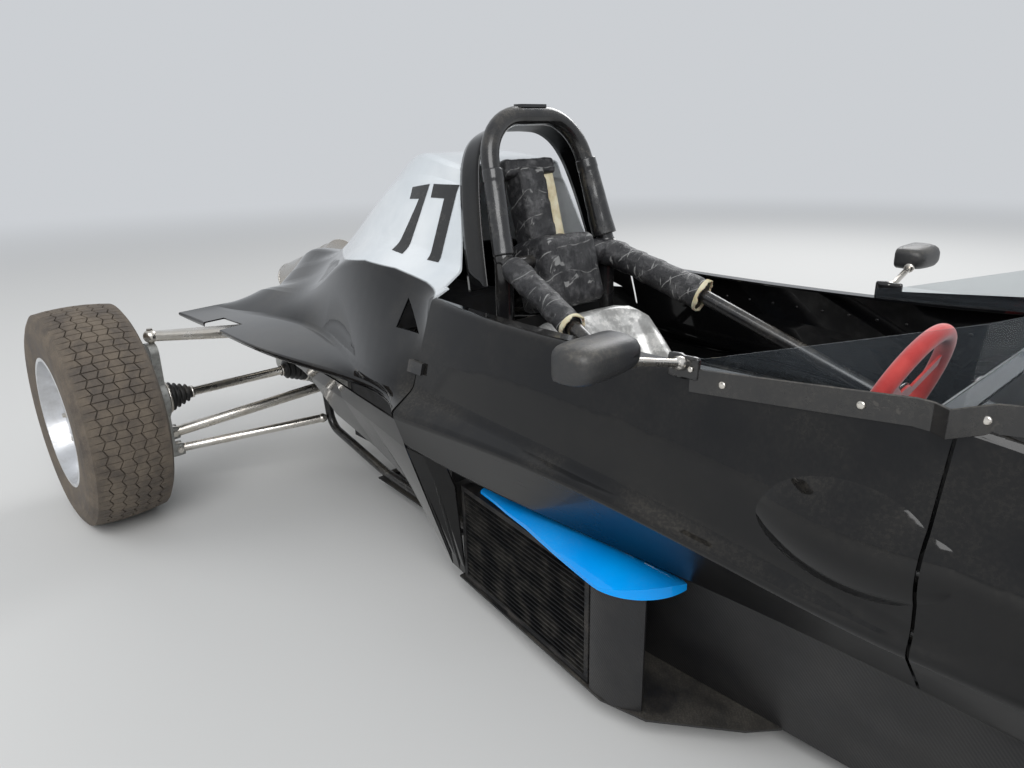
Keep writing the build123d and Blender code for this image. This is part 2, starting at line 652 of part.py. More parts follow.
# Mirrors, each on a stem from the cockpit rim
MIRROR_STATION = 1520
MIRROR_BASE_HALF = 328
MIRROR_HALF = 492
MIRROR_Z = 697
MIRROR_STEM = 11
with BuildPart() as mirrors:
    for name, side in SIDES:
        with BuildSketch(Plane.YZ.offset(at(MIRROR_STATION - 30))):
            with Locations((side * MIRROR_HALF, MIRROR_Z)):
                RectangleRounded(146, 66, 18)
        extrude(amount=55, taper=12)
        stem_foot = (MIRROR_STATION + 4, side * (MIRROR_BASE_HALF + 8), 660)
        bar(stem_foot, (MIRROR_STATION, side * (MIRROR_HALF - 60), MIRROR_Z - 6), MIRROR_STEM)
        with Locations((at(MIRROR_STATION + 4), side * (MIRROR_BASE_HALF + 4), 655)):
            Box(46, 8, 30)
mirrors.part.label = "mirrors"
export_step(mirrors.part, "parts/mirrors.step")

# Engine block, a plain mass at its real place and size
ENGINE_REAR = 235
ENGINE_FRONT = 700
with BuildPart() as engine_block:
    with BuildSketch(Plane.XY.offset(110)):
        with Locations((at((ENGINE_REAR + ENGINE_FRONT) / 2), 0)):
            Rectangle(ENGINE_FRONT - ENGINE_REAR, 210)
    extrude(amount=470)
engine_block.part.label = "engine_block"
export_step(engine_block.part, "parts/engine_block.step")

# Gearbox and bell housing
# The housing bolts to the engine and carries the inner ends of the rear suspension.
AXLE_Z = REAR_TYRE_DIAMETER / 2
GEARBOX_HALF = 84
OUTPUT_HALF = 128
with BuildPart() as gearbox:
    with BuildSketch(Plane.YZ.offset(at(-300))):
        with Locations((0, 285)):
            RectangleRounded(2 * GEARBOX_HALF, 190, 26)
    extrude(amount=400)
    with BuildSketch(Plane.YZ.offset(at(100))):
        with Locations((0, 285)):
            RectangleRounded(2 * GEARBOX_HALF, 190, 26)
    with BuildSketch(Plane.YZ.offset(at(ENGINE_REAR - SEAT))):
        with Locations((0, 285)):
            RectangleRounded(230, 300, 60)
    loft()
    for name, side in SIDES:
        with BuildSketch(Plane.XZ.offset(-side * 60)):
            with Locations((at(0), AXLE_Z)):
                Circle(52)
        extrude(amount=-side * (OUTPUT_HALF - 60))
        with Locations((at(10), side * 100, 362.5)):
            Box(90, 80, 57)
        with Locations((at(70), side * 90, 230)):
            Box(40, 24, 36)
gearbox.part.label = "gearbox"
export_step(gearbox.part, "parts/gearbox.step")

# Exhaust
# A pipe leads from the engine's left side, out through the cut in the cover, to one silencer.
SILENCER_DIAMETER = 118
SILENCER_HALF = 205
SILENCER_FRONT = (-300, 548)
SILENCER_REAR = (-700, 420)
EXHAUST_TUBE = 48
EXHAUST_ROUTE = (
    # station, half-width, height
    (500, 105 + SEAT, 400), (500, 190, 400), (330, 196, 420), (120, 196, 478), (-60, SILENCER_HALF, 500),
    (SILENCER_FRONT[0], SILENCER_HALF, SILENCER_FRONT[1]),
)
EXHAUST_BENDS = (50, 120, 200, 300)
with BuildPart() as exhaust:
    with BuildLine() as route:
        corners = [(at(station), half, z) for station, half, z in EXHAUST_ROUTE]
        FilletPolyline(*corners, radius=EXHAUST_BENDS)
    with BuildSketch(Plane(origin=route.line @ 0, z_dir=route.line % 0)):
        Circle(EXHAUST_TUBE / 2)
    sweep(path=route.line)
    front_end = Vector(at(SILENCER_FRONT[0]), SILENCER_HALF, SILENCER_FRONT[1])
    rear_end = Vector(at(SILENCER_REAR[0]), SILENCER_HALF, SILENCER_REAR[1])
    can_length = (rear_end - front_end).length
    can_plane = Plane(origin=front_end, x_dir=(0, 1, 0), z_dir=rear_end - front_end)
    for start, length, width in ((-8, can_length + 8, SILENCER_DIAMETER), (can_length - 1, 20, 62)):
        with BuildSketch(can_plane.offset(start)):
            Circle(width / 2)
        extrude(amount=length)
exhaust.part.label = "exhaust"
export_step(exhaust.part, "parts/exhaust.step")

# Radiators, one in each side pod, in a thin frame
RADIATOR_REAR = (972, 288)
RADIATOR_FRONT = (1374, 345)
RADIATOR_LOW = FLOOR_Z + FLOOR_SHEET + SEAT
RADIATOR_TOP = 268
RADIATOR_DEPTH = 42
RADIATOR_FRAME = 11
CORE_RECESS = 5
with BuildPart() as radiators:
    for name, side in SIDES:
        rear = Vector(at(RADIATOR_REAR[0]), side * RADIATOR_REAR[1])
        front = Vector(at(RADIATOR_FRONT[0]), side * RADIATOR_FRONT[1])
        inward = (front - rear).normalized().rotate(Axis.Z, -side * 90) * RADIATOR_DEPTH
        with BuildSketch(Plane.XY.offset(RADIATOR_LOW)):
            with BuildLine():
                Polyline(rear, front, front + inward, rear + inward, close=True)
            make_face()
        extrude(amount=RADIATOR_TOP - RADIATOR_LOW)
        middle = (rear + front) / 2
        face = Plane(
            origin=(middle.X, middle.Y, (RADIATOR_LOW + RADIATOR_TOP) / 2), x_dir=front - rear, z_dir=inward
        )
        with BuildSketch(face):
            core_height = RADIATOR_TOP - RADIATOR_LOW - 2 * RADIATOR_FRAME
            Rectangle((front - rear).length - 2 * RADIATOR_FRAME, core_height)
        extrude(amount=CORE_RECESS, mode=Mode.SUBTRACT)
radiators.part.label = "radiators"
export_step(radiators.part, "parts/radiators.step")

# Side pod floors, each with its curved outer post
POD_FLOOR_GAP = 1.3
POD_FLOOR = (
    # station, half-width
    (958, along(TRAY_SECTIONS, 958, 1) + POD_FLOOR_GAP),
    (958, 292), (1412, 356), (1494, 338), (1618, 243),
    (1655, along(TRAY_SECTIONS, 1655, 1) + POD_FLOOR_GAP),
    (1400, along(TRAY_SECTIONS, 1400, 1) + POD_FLOOR_GAP),
)
POD_TOP_LOW = 272
with BuildPart() as pod_floors:
    for name, side in SIDES:
        with BuildSketch(Plane.XY.offset(FLOOR_Z)):
            with BuildLine():
                Polyline(*[(at(station), side * half) for station, half in POD_FLOOR], close=True)
            make_face()
        extrude(amount=FLOOR_SHEET)
        with BuildSketch(Plane.XY.offset(FLOOR_Z)):
            with BuildLine():
                ThreePointArc((at(1382), side * 350), (at(1430), side * 352), (at(1478), side * 330))
                Line((at(1478), side * 330), (at(1476), side * 324))
                ThreePointArc((at(1476), side * 324), (at(1430), side * 344), (at(1382), side * 342))
                Line((at(1382), side * 342), (at(1382), side * 350))
            make_face()
        extrude(amount=POD_TOP_LOW - FLOOR_Z)
pod_floors.part.label = "pod_floors"
export_step(pod_floors.part, "parts/pod_floors.step")

# Side pod tops, a crowned blade over each radiator that ends in a slanted front edge
POD_TOP_FOOT = POD_TOP_LOW + SEAT
POD_TOP_ROOT = 266
POD_TOP_LIP = 6
POD_TOP_SECTIONS = (
    # station, outer half-width, crest half-width, crest above the foot
    (1030, 288, 277, 9),
    (1200, 326, 300, 17),
    (1340, 360, 318, 25),
    (1515, 376, 322, 18),
)
with BuildPart() as pod_tops:
    for name, side in SIDES:
        sections = []
        for station, outer, crest, rise in POD_TOP_SECTIONS:
            with BuildSketch(Plane.YZ.offset(at(station)), mode=Mode.PRIVATE) as section:
                with BuildLine():
                    Polyline(
                        (side * outer, POD_TOP_FOOT + POD_TOP_LIP), (side * outer, POD_TOP_FOOT),
                        (side * POD_TOP_ROOT, POD_TOP_FOOT), (side * POD_TOP_ROOT, POD_TOP_FOOT + rise / 2),
                    )
                    ThreePointArc(
                        (side * POD_TOP_ROOT, POD_TOP_FOOT + rise / 2), (side * crest, POD_TOP_FOOT + rise),
                        (side * outer, POD_TOP_FOOT + POD_TOP_LIP),
                    )
                make_face()
            sections.append(section.sketch)
        loft(sections)
    with BuildSketch(Plane.XY.offset(POD_TOP_FOOT)):
        for name, side in SIDES:
            with BuildLine():
                Line((at(1035), side * 290), (at(1200), side * 322))
                ThreePointArc((at(1200), side * 322), (at(1330), side * 355), (at(1408), side * 372))
                ThreePointArc((at(1408), side * 372), (at(1462), side * 358), (at(1512), side * 272))
                Line((at(1512), side * 272), (at(1500), side * POD_TOP_ROOT))
                Line((at(1500), side * POD_TOP_ROOT), (at(1035), side * 270))
                Line((at(1035), side * 270), (at(1035), side * 290))
            make_face()
    extrude(amount=60, mode=Mode.INTERSECT)
pod_tops.part.label = "pod_tops"
export_step(pod_tops.part, "parts/pod_tops.step")

# Rear side panels below the cover's ledge, sweeping in towards the engine floor
PANEL_SHEET = 5
SIDE_PANEL_SECTIONS = (
    # station, foot, knee and top, each a half-width and a height
    (350, (270, 378), (326, 405), (338, 440)),
    (440, (270, 277), (334, 398), (346, 436)),
    (620, (270, 239), (346, 384), (360, 431)),
    (749, (272, 198), (362, 376), (378, 430)),
    (COVER_JOINT - SEAT, (285, 60), (386, 366), (402, 430)),
)
with BuildPart() as side_panels:
    for name, side in SIDES:
        sections = []
        for station, *corners in SIDE_PANEL_SECTIONS:
            outside = [(side * half, z) for half, z in corners]
            inside = [(side * (half - PANEL_SHEET), z) for half, z in reversed(corners)]
            with BuildSketch(Plane.YZ.offset(at(station)), mode=Mode.PRIVATE) as strip:
                with BuildLine():
                    Polyline(*outside, *inside, close=True)
                make_face()
            sections.append(strip.sketch)
        loft(sections, ruled=True)
side_panels.part.label = "side_panels"
export_step(side_panels.part, "parts/side_panels.step")

# Latches that hold the cover to the cockpit body
LATCH_LENGTH = 44
LATCH_GAP = 0.8
with BuildPart() as cover_latches:
    for name, side in SIDES:
        low = (along(((485, 357), (560, 335)), 516, 1) + LATCH_GAP, 516)
        high = (along(((485, 357), (560, 335)), 538, 1) + LATCH_GAP, 538)
        with BuildSketch(Plane.YZ.offset(at(COVER_JOINT - LATCH_LENGTH / 2))):
            with BuildLine():
                Polyline(
                    (side * low[0], low[1]), (side * high[0], high[1]),
                    (side * (high[0] + 7), high[1]), (side * (low[0] + 7), low[1]), close=True,
                )
            make_face()
        extrude(amount=LATCH_LENGTH)
cover_latches.part.label = "cover_latches"
export_step(cover_latches.part, "parts/cover_latches.step")

# Rear uprights, each with the bearing boss for its wheel
REAR_HALF = REAR_TRACK / 2
UPRIGHT_HALF = 562
BEARING_FACE_HALF = 604
with BuildPart() as rear_uprights:
    for name, side in SIDES:
        with BuildSketch(Plane.XZ.offset(-side * (UPRIGHT_HALF - 11))):
            with Locations((at(0), 279)):
                RectangleRounded(64, 322, 24)
            with Locations((at(0), AXLE_Z)):
                Circle(56)
        extrude(amount=-side * 22)
        with BuildSketch(Plane.XZ.offset(-side * UPRIGHT_HALF)):
            with Locations((at(0), AXLE_Z)):
                Circle(44)
        extrude(amount=-side * (BEARING_FACE_HALF - UPRIGHT_HALF))
rear_uprights.part.label = "rear_uprights"
export_step(rear_uprights.part, "parts/rear_uprights.step")

# Driveshafts with a ridged boot at each end
SHAFT_TUBE = 28
BOOT_RIDGES = 4
with BuildPart() as driveshafts:
    for name, side in SIDES:
        shaft_axis = Axis((at(0), 0, AXLE_Z), (0, side, 0))
        outer_end = UPRIGHT_HALF - 11 - SEAT
        inner_end = OUTPUT_HALF + SEAT
        outline = [(inner_end, 0), (inner_end, 46), (inner_end + 14, 46)]
        for ridge in range(BOOT_RIDGES):
            foot = inner_end + 14 + 14 * ridge
            outline += [(foot + 5, 42 - 5 * ridge), (foot + 10, 34 - 5 * ridge)]
        outline += [(inner_end + 74, SHAFT_TUBE / 2), (outer_end - 70, SHAFT_TUBE / 2)]
        for ridge in reversed(range(BOOT_RIDGES)):
            foot = outer_end - 10 - 14 * ridge
            outline += [(foot - 10, 30 - 5 * ridge), (foot - 5, 38 - 5 * ridge)]
        outline += [(outer_end, 42), (outer_end, 0)]
        with BuildSketch(Plane(origin=(at(0), 0, AXLE_Z), x_dir=(0, side, 0), z_dir=(1, 0, 0))):
            with BuildLine():
                Polyline(*outline, close=True)
            make_face()
        revolve(axis=shaft_axis)
driveshafts.part.label = "driveshafts"
export_step(driveshafts.part, "parts/driveshafts.step")

# Suspension arms
# The top arm at each corner is a rocker, wide at its inboard pivot and narrow at the wheel.
REAR_ROCKER_ENDS = (
    # station, half-width, height, length along the car, thickness, corner radius
    (10, 142, 407, 104, 30, 12),
    (0, 548, 458, 34, 26, 10),
)
with BuildPart() as rear_rocker_arms:
    for name, side in SIDES:
        outer = (0, side * 556, 459)
        for station, half, z, length, height, corner in REAR_ROCKER_ENDS:
            end_plane = Plane(origin=(at(station), side * half, z), x_dir=(1, 0, 0), z_dir=(0, side * 414, 63))
            with BuildSketch(end_plane):
                RectangleRounded(length, height, corner)
        loft()
        ball(outer, 37)
rear_rocker_arms.part.label = "rear_rocker_arms"
export_step(rear_rocker_arms.part, "parts/rear_rocker_arms.step")

with BuildPart() as rear_lower_arms:
    for name, side in SIDES:
        for start, end, diameter, eye in (
            ((-6, side * 535, 176), (70, side * (102 + 16 + SEAT), 226), 30, 32),
            ((14, side * 535, 133), (140, side * 157.4, 152), 24, 28),
        ):
            bar(start, end, diameter)
            ball(end, eye)
rear_lower_arms.part.label = "rear_lower_arms"
export_step(rear_lower_arms.part, "parts/rear_lower_arms.step")

FRONT_AXLE_Z = FRONT_TYRE_DIAMETER / 2
LEG_EYE = 30
LOWER_RAIL = LOWER_TUBE[3:]
KINGPIN_LOW = 124
KINGPIN_HIGH = 424
PIN_GAP = 0.5
FRONT_ROCKER_ENDS = (
    # half-width, height, length along the car, thickness, corner radius
    (NOSE_ROCKER_HALF, NOSE_ROCKER_Z, 90, 28, 12),
    (KINGPIN_HALF + 15, KINGPIN_HIGH + PIN_GAP + 13.3, 32, 24, 10),
)
with BuildPart() as front_rocker_arms:
    for name, side in SIDES:
        for half, z, length, height, corner in FRONT_ROCKER_ENDS:
            with BuildSketch(Plane(origin=(at(WHEELBASE), side * half, z), x_dir=(1, 0, 0), z_dir=(0, side, 0))):
                RectangleRounded(length, height, corner)
        loft()
front_rocker_arms.part.label = "front_rocker_arms"
export_step(front_rocker_arms.part, "parts/front_rocker_arms.step")

with BuildPart() as front_lower_arms:
    for name, side in SIDES:
        outer = (WHEELBASE, side * KINGPIN_HALF, KINGPIN_LOW - PIN_GAP - 17)
        ball(outer, 34)
        for station in (REAR_LEG_STATION, FRONT_LEG_STATION):
            inner_eye = (station, side * (along(LOWER_RAIL, station, 1) + 27.8), RAIL_Z + 4.6)
            bar(inner_eye, outer, 26)
            ball(inner_eye, LEG_EYE)
front_lower_arms.part.label = "front_lower_arms"
export_step(front_lower_arms.part, "parts/front_lower_arms.step")

# Front uprights, which turn about their kingpins and carry the steering arms
BEARING_FRONT_HALF = 612
KINGPIN_DIAMETER = 34
for name, side in SIDES:
    with BuildPart() as front_upright:
        pin_low = (WHEELBASE, side * KINGPIN_HALF, KINGPIN_LOW)
        bar(pin_low, (WHEELBASE, side * KINGPIN_HALF, KINGPIN_HIGH), KINGPIN_DIAMETER)
        with BuildSketch(Plane.XZ.offset(-side * KINGPIN_HALF)):
            with Locations((at(WHEELBASE), FRONT_AXLE_Z)):
                Circle(40)
        extrude(amount=-side * (BEARING_FRONT_HALF - KINGPIN_HALF))
        with BuildSketch(Plane.XY.offset(RACK_Z + 12)):
            with Locations((at(WHEELBASE - STEER_ARM / 2), side * (KINGPIN_HALF + STEER_EYE_HALF) / 2)):
                RectangleRounded(STEER_ARM + 24, 24, 10)
        extrude(amount=14)
    front_upright.part.label = f"{name}_front_upright"
    export_step(front_upright.part, f"parts/{name}_front_upright.step")

# Steering rack and its housing
# The rack slides across the car. Its rod eyes run just below the steering arms.
RACK_STATION = WHEELBASE - STEER_ARM
HOUSING_HALF = 112
HOUSING_TUBE = 40
RACK_HALF = 190
with BuildPart() as rack_housing:
    bar((RACK_STATION, -HOUSING_HALF, RACK_Z), (RACK_STATION, HOUSING_HALF, RACK_Z), HOUSING_TUBE)
    with Locations((at(RACK_STATION - 18), 0, RACK_Z)):
        Box(40, 44, 34)
    for name, side in SIDES:
        bar((RACK_STATION, side * 80, RACK_Z), (RACK_STATION, side * 160.9, 345.1), 14)
    bar(
        (RACK_STATION, -HOUSING_HALF - 1, RACK_Z), (RACK_STATION, HOUSING_HALF + 1, RACK_Z),
        RACK_BAR + 2 * PIN_GAP, mode=Mode.SUBTRACT,
    )
rack_housing.part.label = "rack_housing"
export_step(rack_housing.part, "parts/rack_housing.step")

with BuildPart() as steering_rack:
    bar((RACK_STATION, -RACK_HALF, RACK_Z), (RACK_STATION, RACK_HALF, RACK_Z), RACK_BAR)
    for name, side in SIDES:
        rod_end = (RACK_STATION, side * (STEER_EYE_HALF - 14), RACK_Z)
        bar((RACK_STATION, side * RACK_HALF, RACK_Z), rod_end, TRACK_ROD)
        with Locations((at(RACK_STATION), side * STEER_EYE_HALF, RACK_Z)):
            Cylinder(16, 16)
            Cylinder(7, 16, mode=Mode.SUBTRACT)
steering_rack.part.label = "steering_rack"
export_step(steering_rack.part, "parts/steering_rack.step")

# Steering wheel and column, square to the column's slope
COLUMN_LENGTH = (RACK_STATION - 42 - STEER_WHEEL_STATION) / cos(radians(COLUMN_SLOPE))
with BuildPart(wheel_plane) as steering_wheel:
    Torus((STEER_WHEEL_DIAMETER - STEER_WHEEL_GRIP) / 2, STEER_WHEEL_GRIP / 2)
    with BuildSketch(wheel_plane):
        Circle(32)
        with PolarLocations(0, 3, start_angle=90):
            with Locations((60, 0)):
                Rectangle(110, 26)
    extrude(amount=-4)
steering_wheel.part.label = "steering_wheel"
export_step(steering_wheel.part, "parts/steering_wheel.step")

with BuildPart() as steering_column:
    with BuildSketch(wheel_plane.offset(-4)):
        Circle(COLUMN_TUBE / 2)
    extrude(amount=-COLUMN_LENGTH + 4)
steering_column.part.label = "steering_column"
export_step(steering_column.part, "parts/steering_column.step")

# Wheels
# Each tyre is a solid ring on its rim. The rim is a barrel with a dished, windowed centre,
# a hub and a brake disc.
WHEELS = (
    # corner, station, side, half track, tyre diameter, tyre width, hub inner face
    ("right_rear", 0, -1, REAR_HALF, REAR_TYRE_DIAMETER, REAR_TYRE_WIDTH, BEARING_FACE_HALF),
    ("left_rear", 0, 1, REAR_HALF, REAR_TYRE_DIAMETER, REAR_TYRE_WIDTH, BEARING_FACE_HALF),
    ("right_front", WHEELBASE, -1, FRONT_TRACK / 2, FRONT_TYRE_DIAMETER, FRONT_TYRE_WIDTH, BEARING_FRONT_HALF),
    ("left_front", WHEELBASE, 1, FRONT_TRACK / 2, FRONT_TYRE_DIAMETER, FRONT_TYRE_WIDTH, BEARING_FRONT_HALF),
)
RIM_NARROWER = 22
DISH_THICKNESS = 12
for corner, station, side, half, diameter, width, hub_face in WHEELS:
    radius = diameter / 2
    bead = RIM_DIAMETER / 2
    rim_half = width / 2 - RIM_NARROWER / 2
    wheel_axis = Axis((at(station), 0, radius), (0, side, 0))
    across = Plane(origin=(at(station), side * half, radius), x_dir=(0, side, 0), z_dir=(1, 0, 0))
    with BuildPart() as tyre:
        with BuildSketch(across):
            with BuildLine():
                Line((-rim_half, bead), (rim_half, bead))
                Line((rim_half, bead), (rim_half, bead + RIM_LIP))
                ThreePointArc(
                    (rim_half, bead + RIM_LIP), (width / 2, (bead + radius) / 2 + 8),
                    (width / 2 - TREAD_SHOULDER, radius - 7),
                )
                ThreePointArc(
                    (width / 2 - TREAD_SHOULDER, radius - 7), (0, radius), (-width / 2 + TREAD_SHOULDER, radius - 7)
                )
                ThreePointArc(
                    (-width / 2 + TREAD_SHOULDER, radius - 7), (-width / 2, (bead + radius) / 2 + 8),
                    (-rim_half, bead + RIM_LIP),
                )
                Line((-rim_half, bead + RIM_LIP), (-rim_half, bead))
            make_face()
        revolve(axis=wheel_axis)
    tyre.part.label = f"{corner}_tyre"
    export_step(tyre.part, f"parts/{corner}_tyre.step")

    dish = rim_half - 52
    hub_inner = hub_face + PIN_GAP - half
    with BuildPart() as rim:
        with BuildSketch(across):
            with BuildLine():
                Polyline(
                    (-rim_half - 6, bead - RIM_WALL), (-rim_half - 6, bead + RIM_LIP), (-rim_half, bead + RIM_LIP),
                    (-rim_half, bead), (rim_half, bead), (rim_half, bead + RIM_LIP), (rim_half + 6, bead + RIM_LIP),
                    (rim_half + 6, bead - RIM_WALL), (dish + DISH_THICKNESS, bead - RIM_WALL - 10),
                    (dish + DISH_THICKNESS, 0), (dish, 0),
                    (dish, bead - RIM_WALL - 10), (dish - 10, bead - RIM_WALL), close=True,
                )
            make_face()
        revolve(axis=wheel_axis)
        with BuildSketch(Plane.XZ.offset(-side * (half + dish - 1))):
            with Locations((at(station), radius)):
                with PolarLocations(98, SPOKE_COUNT, start_angle=45):
                    SlotCenterToCenter(60, 52, rotation=90)
        extrude(amount=-side * (DISH_THICKNESS + 2), mode=Mode.SUBTRACT)
        with BuildSketch(Plane.XZ.offset(-side * (half + hub_inner))):
            with Locations((at(station), radius)):
                Circle(HUB_DIAMETER / 2)
        extrude(amount=-side * (dish - hub_inner))
        with BuildSketch(Plane.XZ.offset(-side * (half - 30))):
            with Locations((at(station), radius)):
                Circle(DISC_DIAMETER / 2)
        extrude(amount=-side * DISC_THICKNESS)
    rim.part.label = f"{corner}_rim"
    export_step(rim.part, f"parts/{corner}_rim.step")
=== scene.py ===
# %% [markdown]
# # An open wheel racing car, dressed for its portrait
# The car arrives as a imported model: every panel, arm and wheel is already in its real place and
# at its real size. This lesson adds what the eye reads as real: lacquer, dusty rubber, worn
# plating, torn tape, rivets, tread and numbers. It starts by loading the model as a fixed frame.

# %% Load the car
import json
import math

import bmesh
import bpy
from mathutils import Matrix, Vector, noise
from mathutils.bvhtree import BVHTree


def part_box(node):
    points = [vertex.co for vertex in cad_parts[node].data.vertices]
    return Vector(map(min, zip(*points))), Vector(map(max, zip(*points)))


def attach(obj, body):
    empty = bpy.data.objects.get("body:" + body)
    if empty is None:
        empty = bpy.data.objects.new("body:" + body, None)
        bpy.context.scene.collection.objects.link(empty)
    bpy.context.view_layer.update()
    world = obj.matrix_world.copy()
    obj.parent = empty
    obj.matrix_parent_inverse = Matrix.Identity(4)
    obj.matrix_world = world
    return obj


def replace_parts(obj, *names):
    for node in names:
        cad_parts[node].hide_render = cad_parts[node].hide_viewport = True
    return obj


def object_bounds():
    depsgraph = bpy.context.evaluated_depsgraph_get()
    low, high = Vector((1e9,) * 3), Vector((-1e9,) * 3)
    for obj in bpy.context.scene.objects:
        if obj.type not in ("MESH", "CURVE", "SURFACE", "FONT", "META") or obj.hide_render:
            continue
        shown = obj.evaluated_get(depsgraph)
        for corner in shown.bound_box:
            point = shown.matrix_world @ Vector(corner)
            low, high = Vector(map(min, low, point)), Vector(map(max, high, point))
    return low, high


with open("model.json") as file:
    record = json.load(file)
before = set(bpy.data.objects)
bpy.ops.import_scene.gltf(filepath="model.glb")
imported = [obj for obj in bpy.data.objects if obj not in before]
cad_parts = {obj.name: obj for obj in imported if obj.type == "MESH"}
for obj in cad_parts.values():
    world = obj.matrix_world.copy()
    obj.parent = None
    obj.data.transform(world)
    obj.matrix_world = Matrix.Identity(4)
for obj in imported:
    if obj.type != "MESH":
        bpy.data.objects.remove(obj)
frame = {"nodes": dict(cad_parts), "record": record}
cad_low, cad_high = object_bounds()
print("the car measures", [round(high - low, 3) for low, high in zip(cad_low, cad_high)], "metres")

# %% [markdown]
# ## Where the photographer stood
# The picture was taken from the right side of the nose, a little above the car, looking back over
# the cockpit. A camera is a place, three turns and a lens. The turns are given as yaw, pitch and
# roll, because that is how a person holds a camera.

# %% The camera
FORWARD, ACROSS, UP = Vector((1, 0, 0)), Vector((0, 1, 0)), Vector((0, 0, 1))
CAMERA_PLACE = Vector((0.859, -1.135, 0.955))
CAMERA_YAW = -0.832
CAMERA_PITCH = 0.328
CAMERA_ROLL = -0.021
CAMERA_LENS = 26.0
CAMERA_SENSOR = 36.0

camera = bpy.data.objects.new("camera", bpy.data.cameras.new("camera"))
bpy.context.collection.objects.link(camera)
bpy.context.scene.camera = camera
ahead = Vector((
    math.sin(CAMERA_YAW) * math.cos(CAMERA_PITCH),
    math.cos(CAMERA_YAW) * math.cos(CAMERA_PITCH),
    -math.sin(CAMERA_PITCH),
))
level_right = ahead.cross(UP).normalized()
level_up = level_right.cross(ahead)
camera_right = level_right * math.cos(CAMERA_ROLL) + level_up * math.sin(CAMERA_ROLL)
camera_up = level_up * math.cos(CAMERA_ROLL) - level_right * math.sin(CAMERA_ROLL)
camera_turn = Matrix((camera_right, camera_up, -ahead)).transposed().to_4x4()
camera.matrix_world = Matrix.Translation(CAMERA_PLACE) @ camera_turn
camera.data.lens = CAMERA_LENS
camera.data.sensor_width = CAMERA_SENSOR
from_middle = (CAMERA_PLACE - (cad_low + cad_high) / 2).length
print("the camera is", round(from_middle, 2), "metres from the middle of the car")

# %% [markdown]
# ## Writing shader sums as Python
# A finish is a small web of nodes, and most of those nodes are plain sums. The class below wraps a
# socket, so that `1 - mask * 0.5` adds the Math nodes by itself. Every other kind of node comes
# from one method, which sets a node's choices first and then its values and links. The sky is a web
# of nodes too, so what both need stands in a class of its own.

# %% Sockets that do sums
class Value:
    """One output of a node, with the sums that Python writes as + - *."""

    def __init__(self, web, socket):
        self.web, self.socket = web, socket

    def math(self, operation, *values):
        return self.web.node("ShaderNodeMath", {"operation": operation}, dict(enumerate(values)))

    def __add__(self, other):
        return self.math("ADD", self, other)

    def __sub__(self, other):
        return self.math("SUBTRACT", self, other)

    def __rsub__(self, other):
        return self.math("SUBTRACT", other, self)

    def __mul__(self, other):
        return self.math("MULTIPLY", self, other)

    __radd__ = __add__
    __rmul__ = __mul__


class Web:
    """The nodes of a sky or of a material."""

    def __init__(self, tree):
        self.tree = tree

    def feed(self, socket, value):
        if isinstance(value, Value):
            self.tree.links.new(value.socket, socket)
        else:
            socket.default_value = value

    def node(self, kind, settings=None, sockets=None, out=0):
        made = self.tree.nodes.new(kind)
        for name, value in (settings or {}).items():
            setattr(made, name, value)
        for name, value in (sockets or {}).items():
            self.feed(made.inputs[name], value)
        return Value(self, made.outputs[out])

    def span(self, value, low, high, low_out=0.0, high_out=1.0):
        """Stretches low..high of a value over low_out..high_out, and holds it there beyond."""
        sockets = {0: value, 1: low, 2: high, 3: low_out, 4: high_out}
        return self.node("ShaderNodeMapRange", {"interpolation_type": "SMOOTHSTEP"}, sockets)

    def looked_at(self):
        """One where a camera, a reflection or a clear sheet looks, and zero for light that falls."""
        kinds = ("Is Camera Ray", "Is Glossy Ray", "Is Transmission Ray")
        direct, mirrored, through = [self.node("ShaderNodeLightPath", out=kind) for kind in kinds]
        return direct.math("MAXIMUM", direct, direct.math("MAXIMUM", mirrored, through))


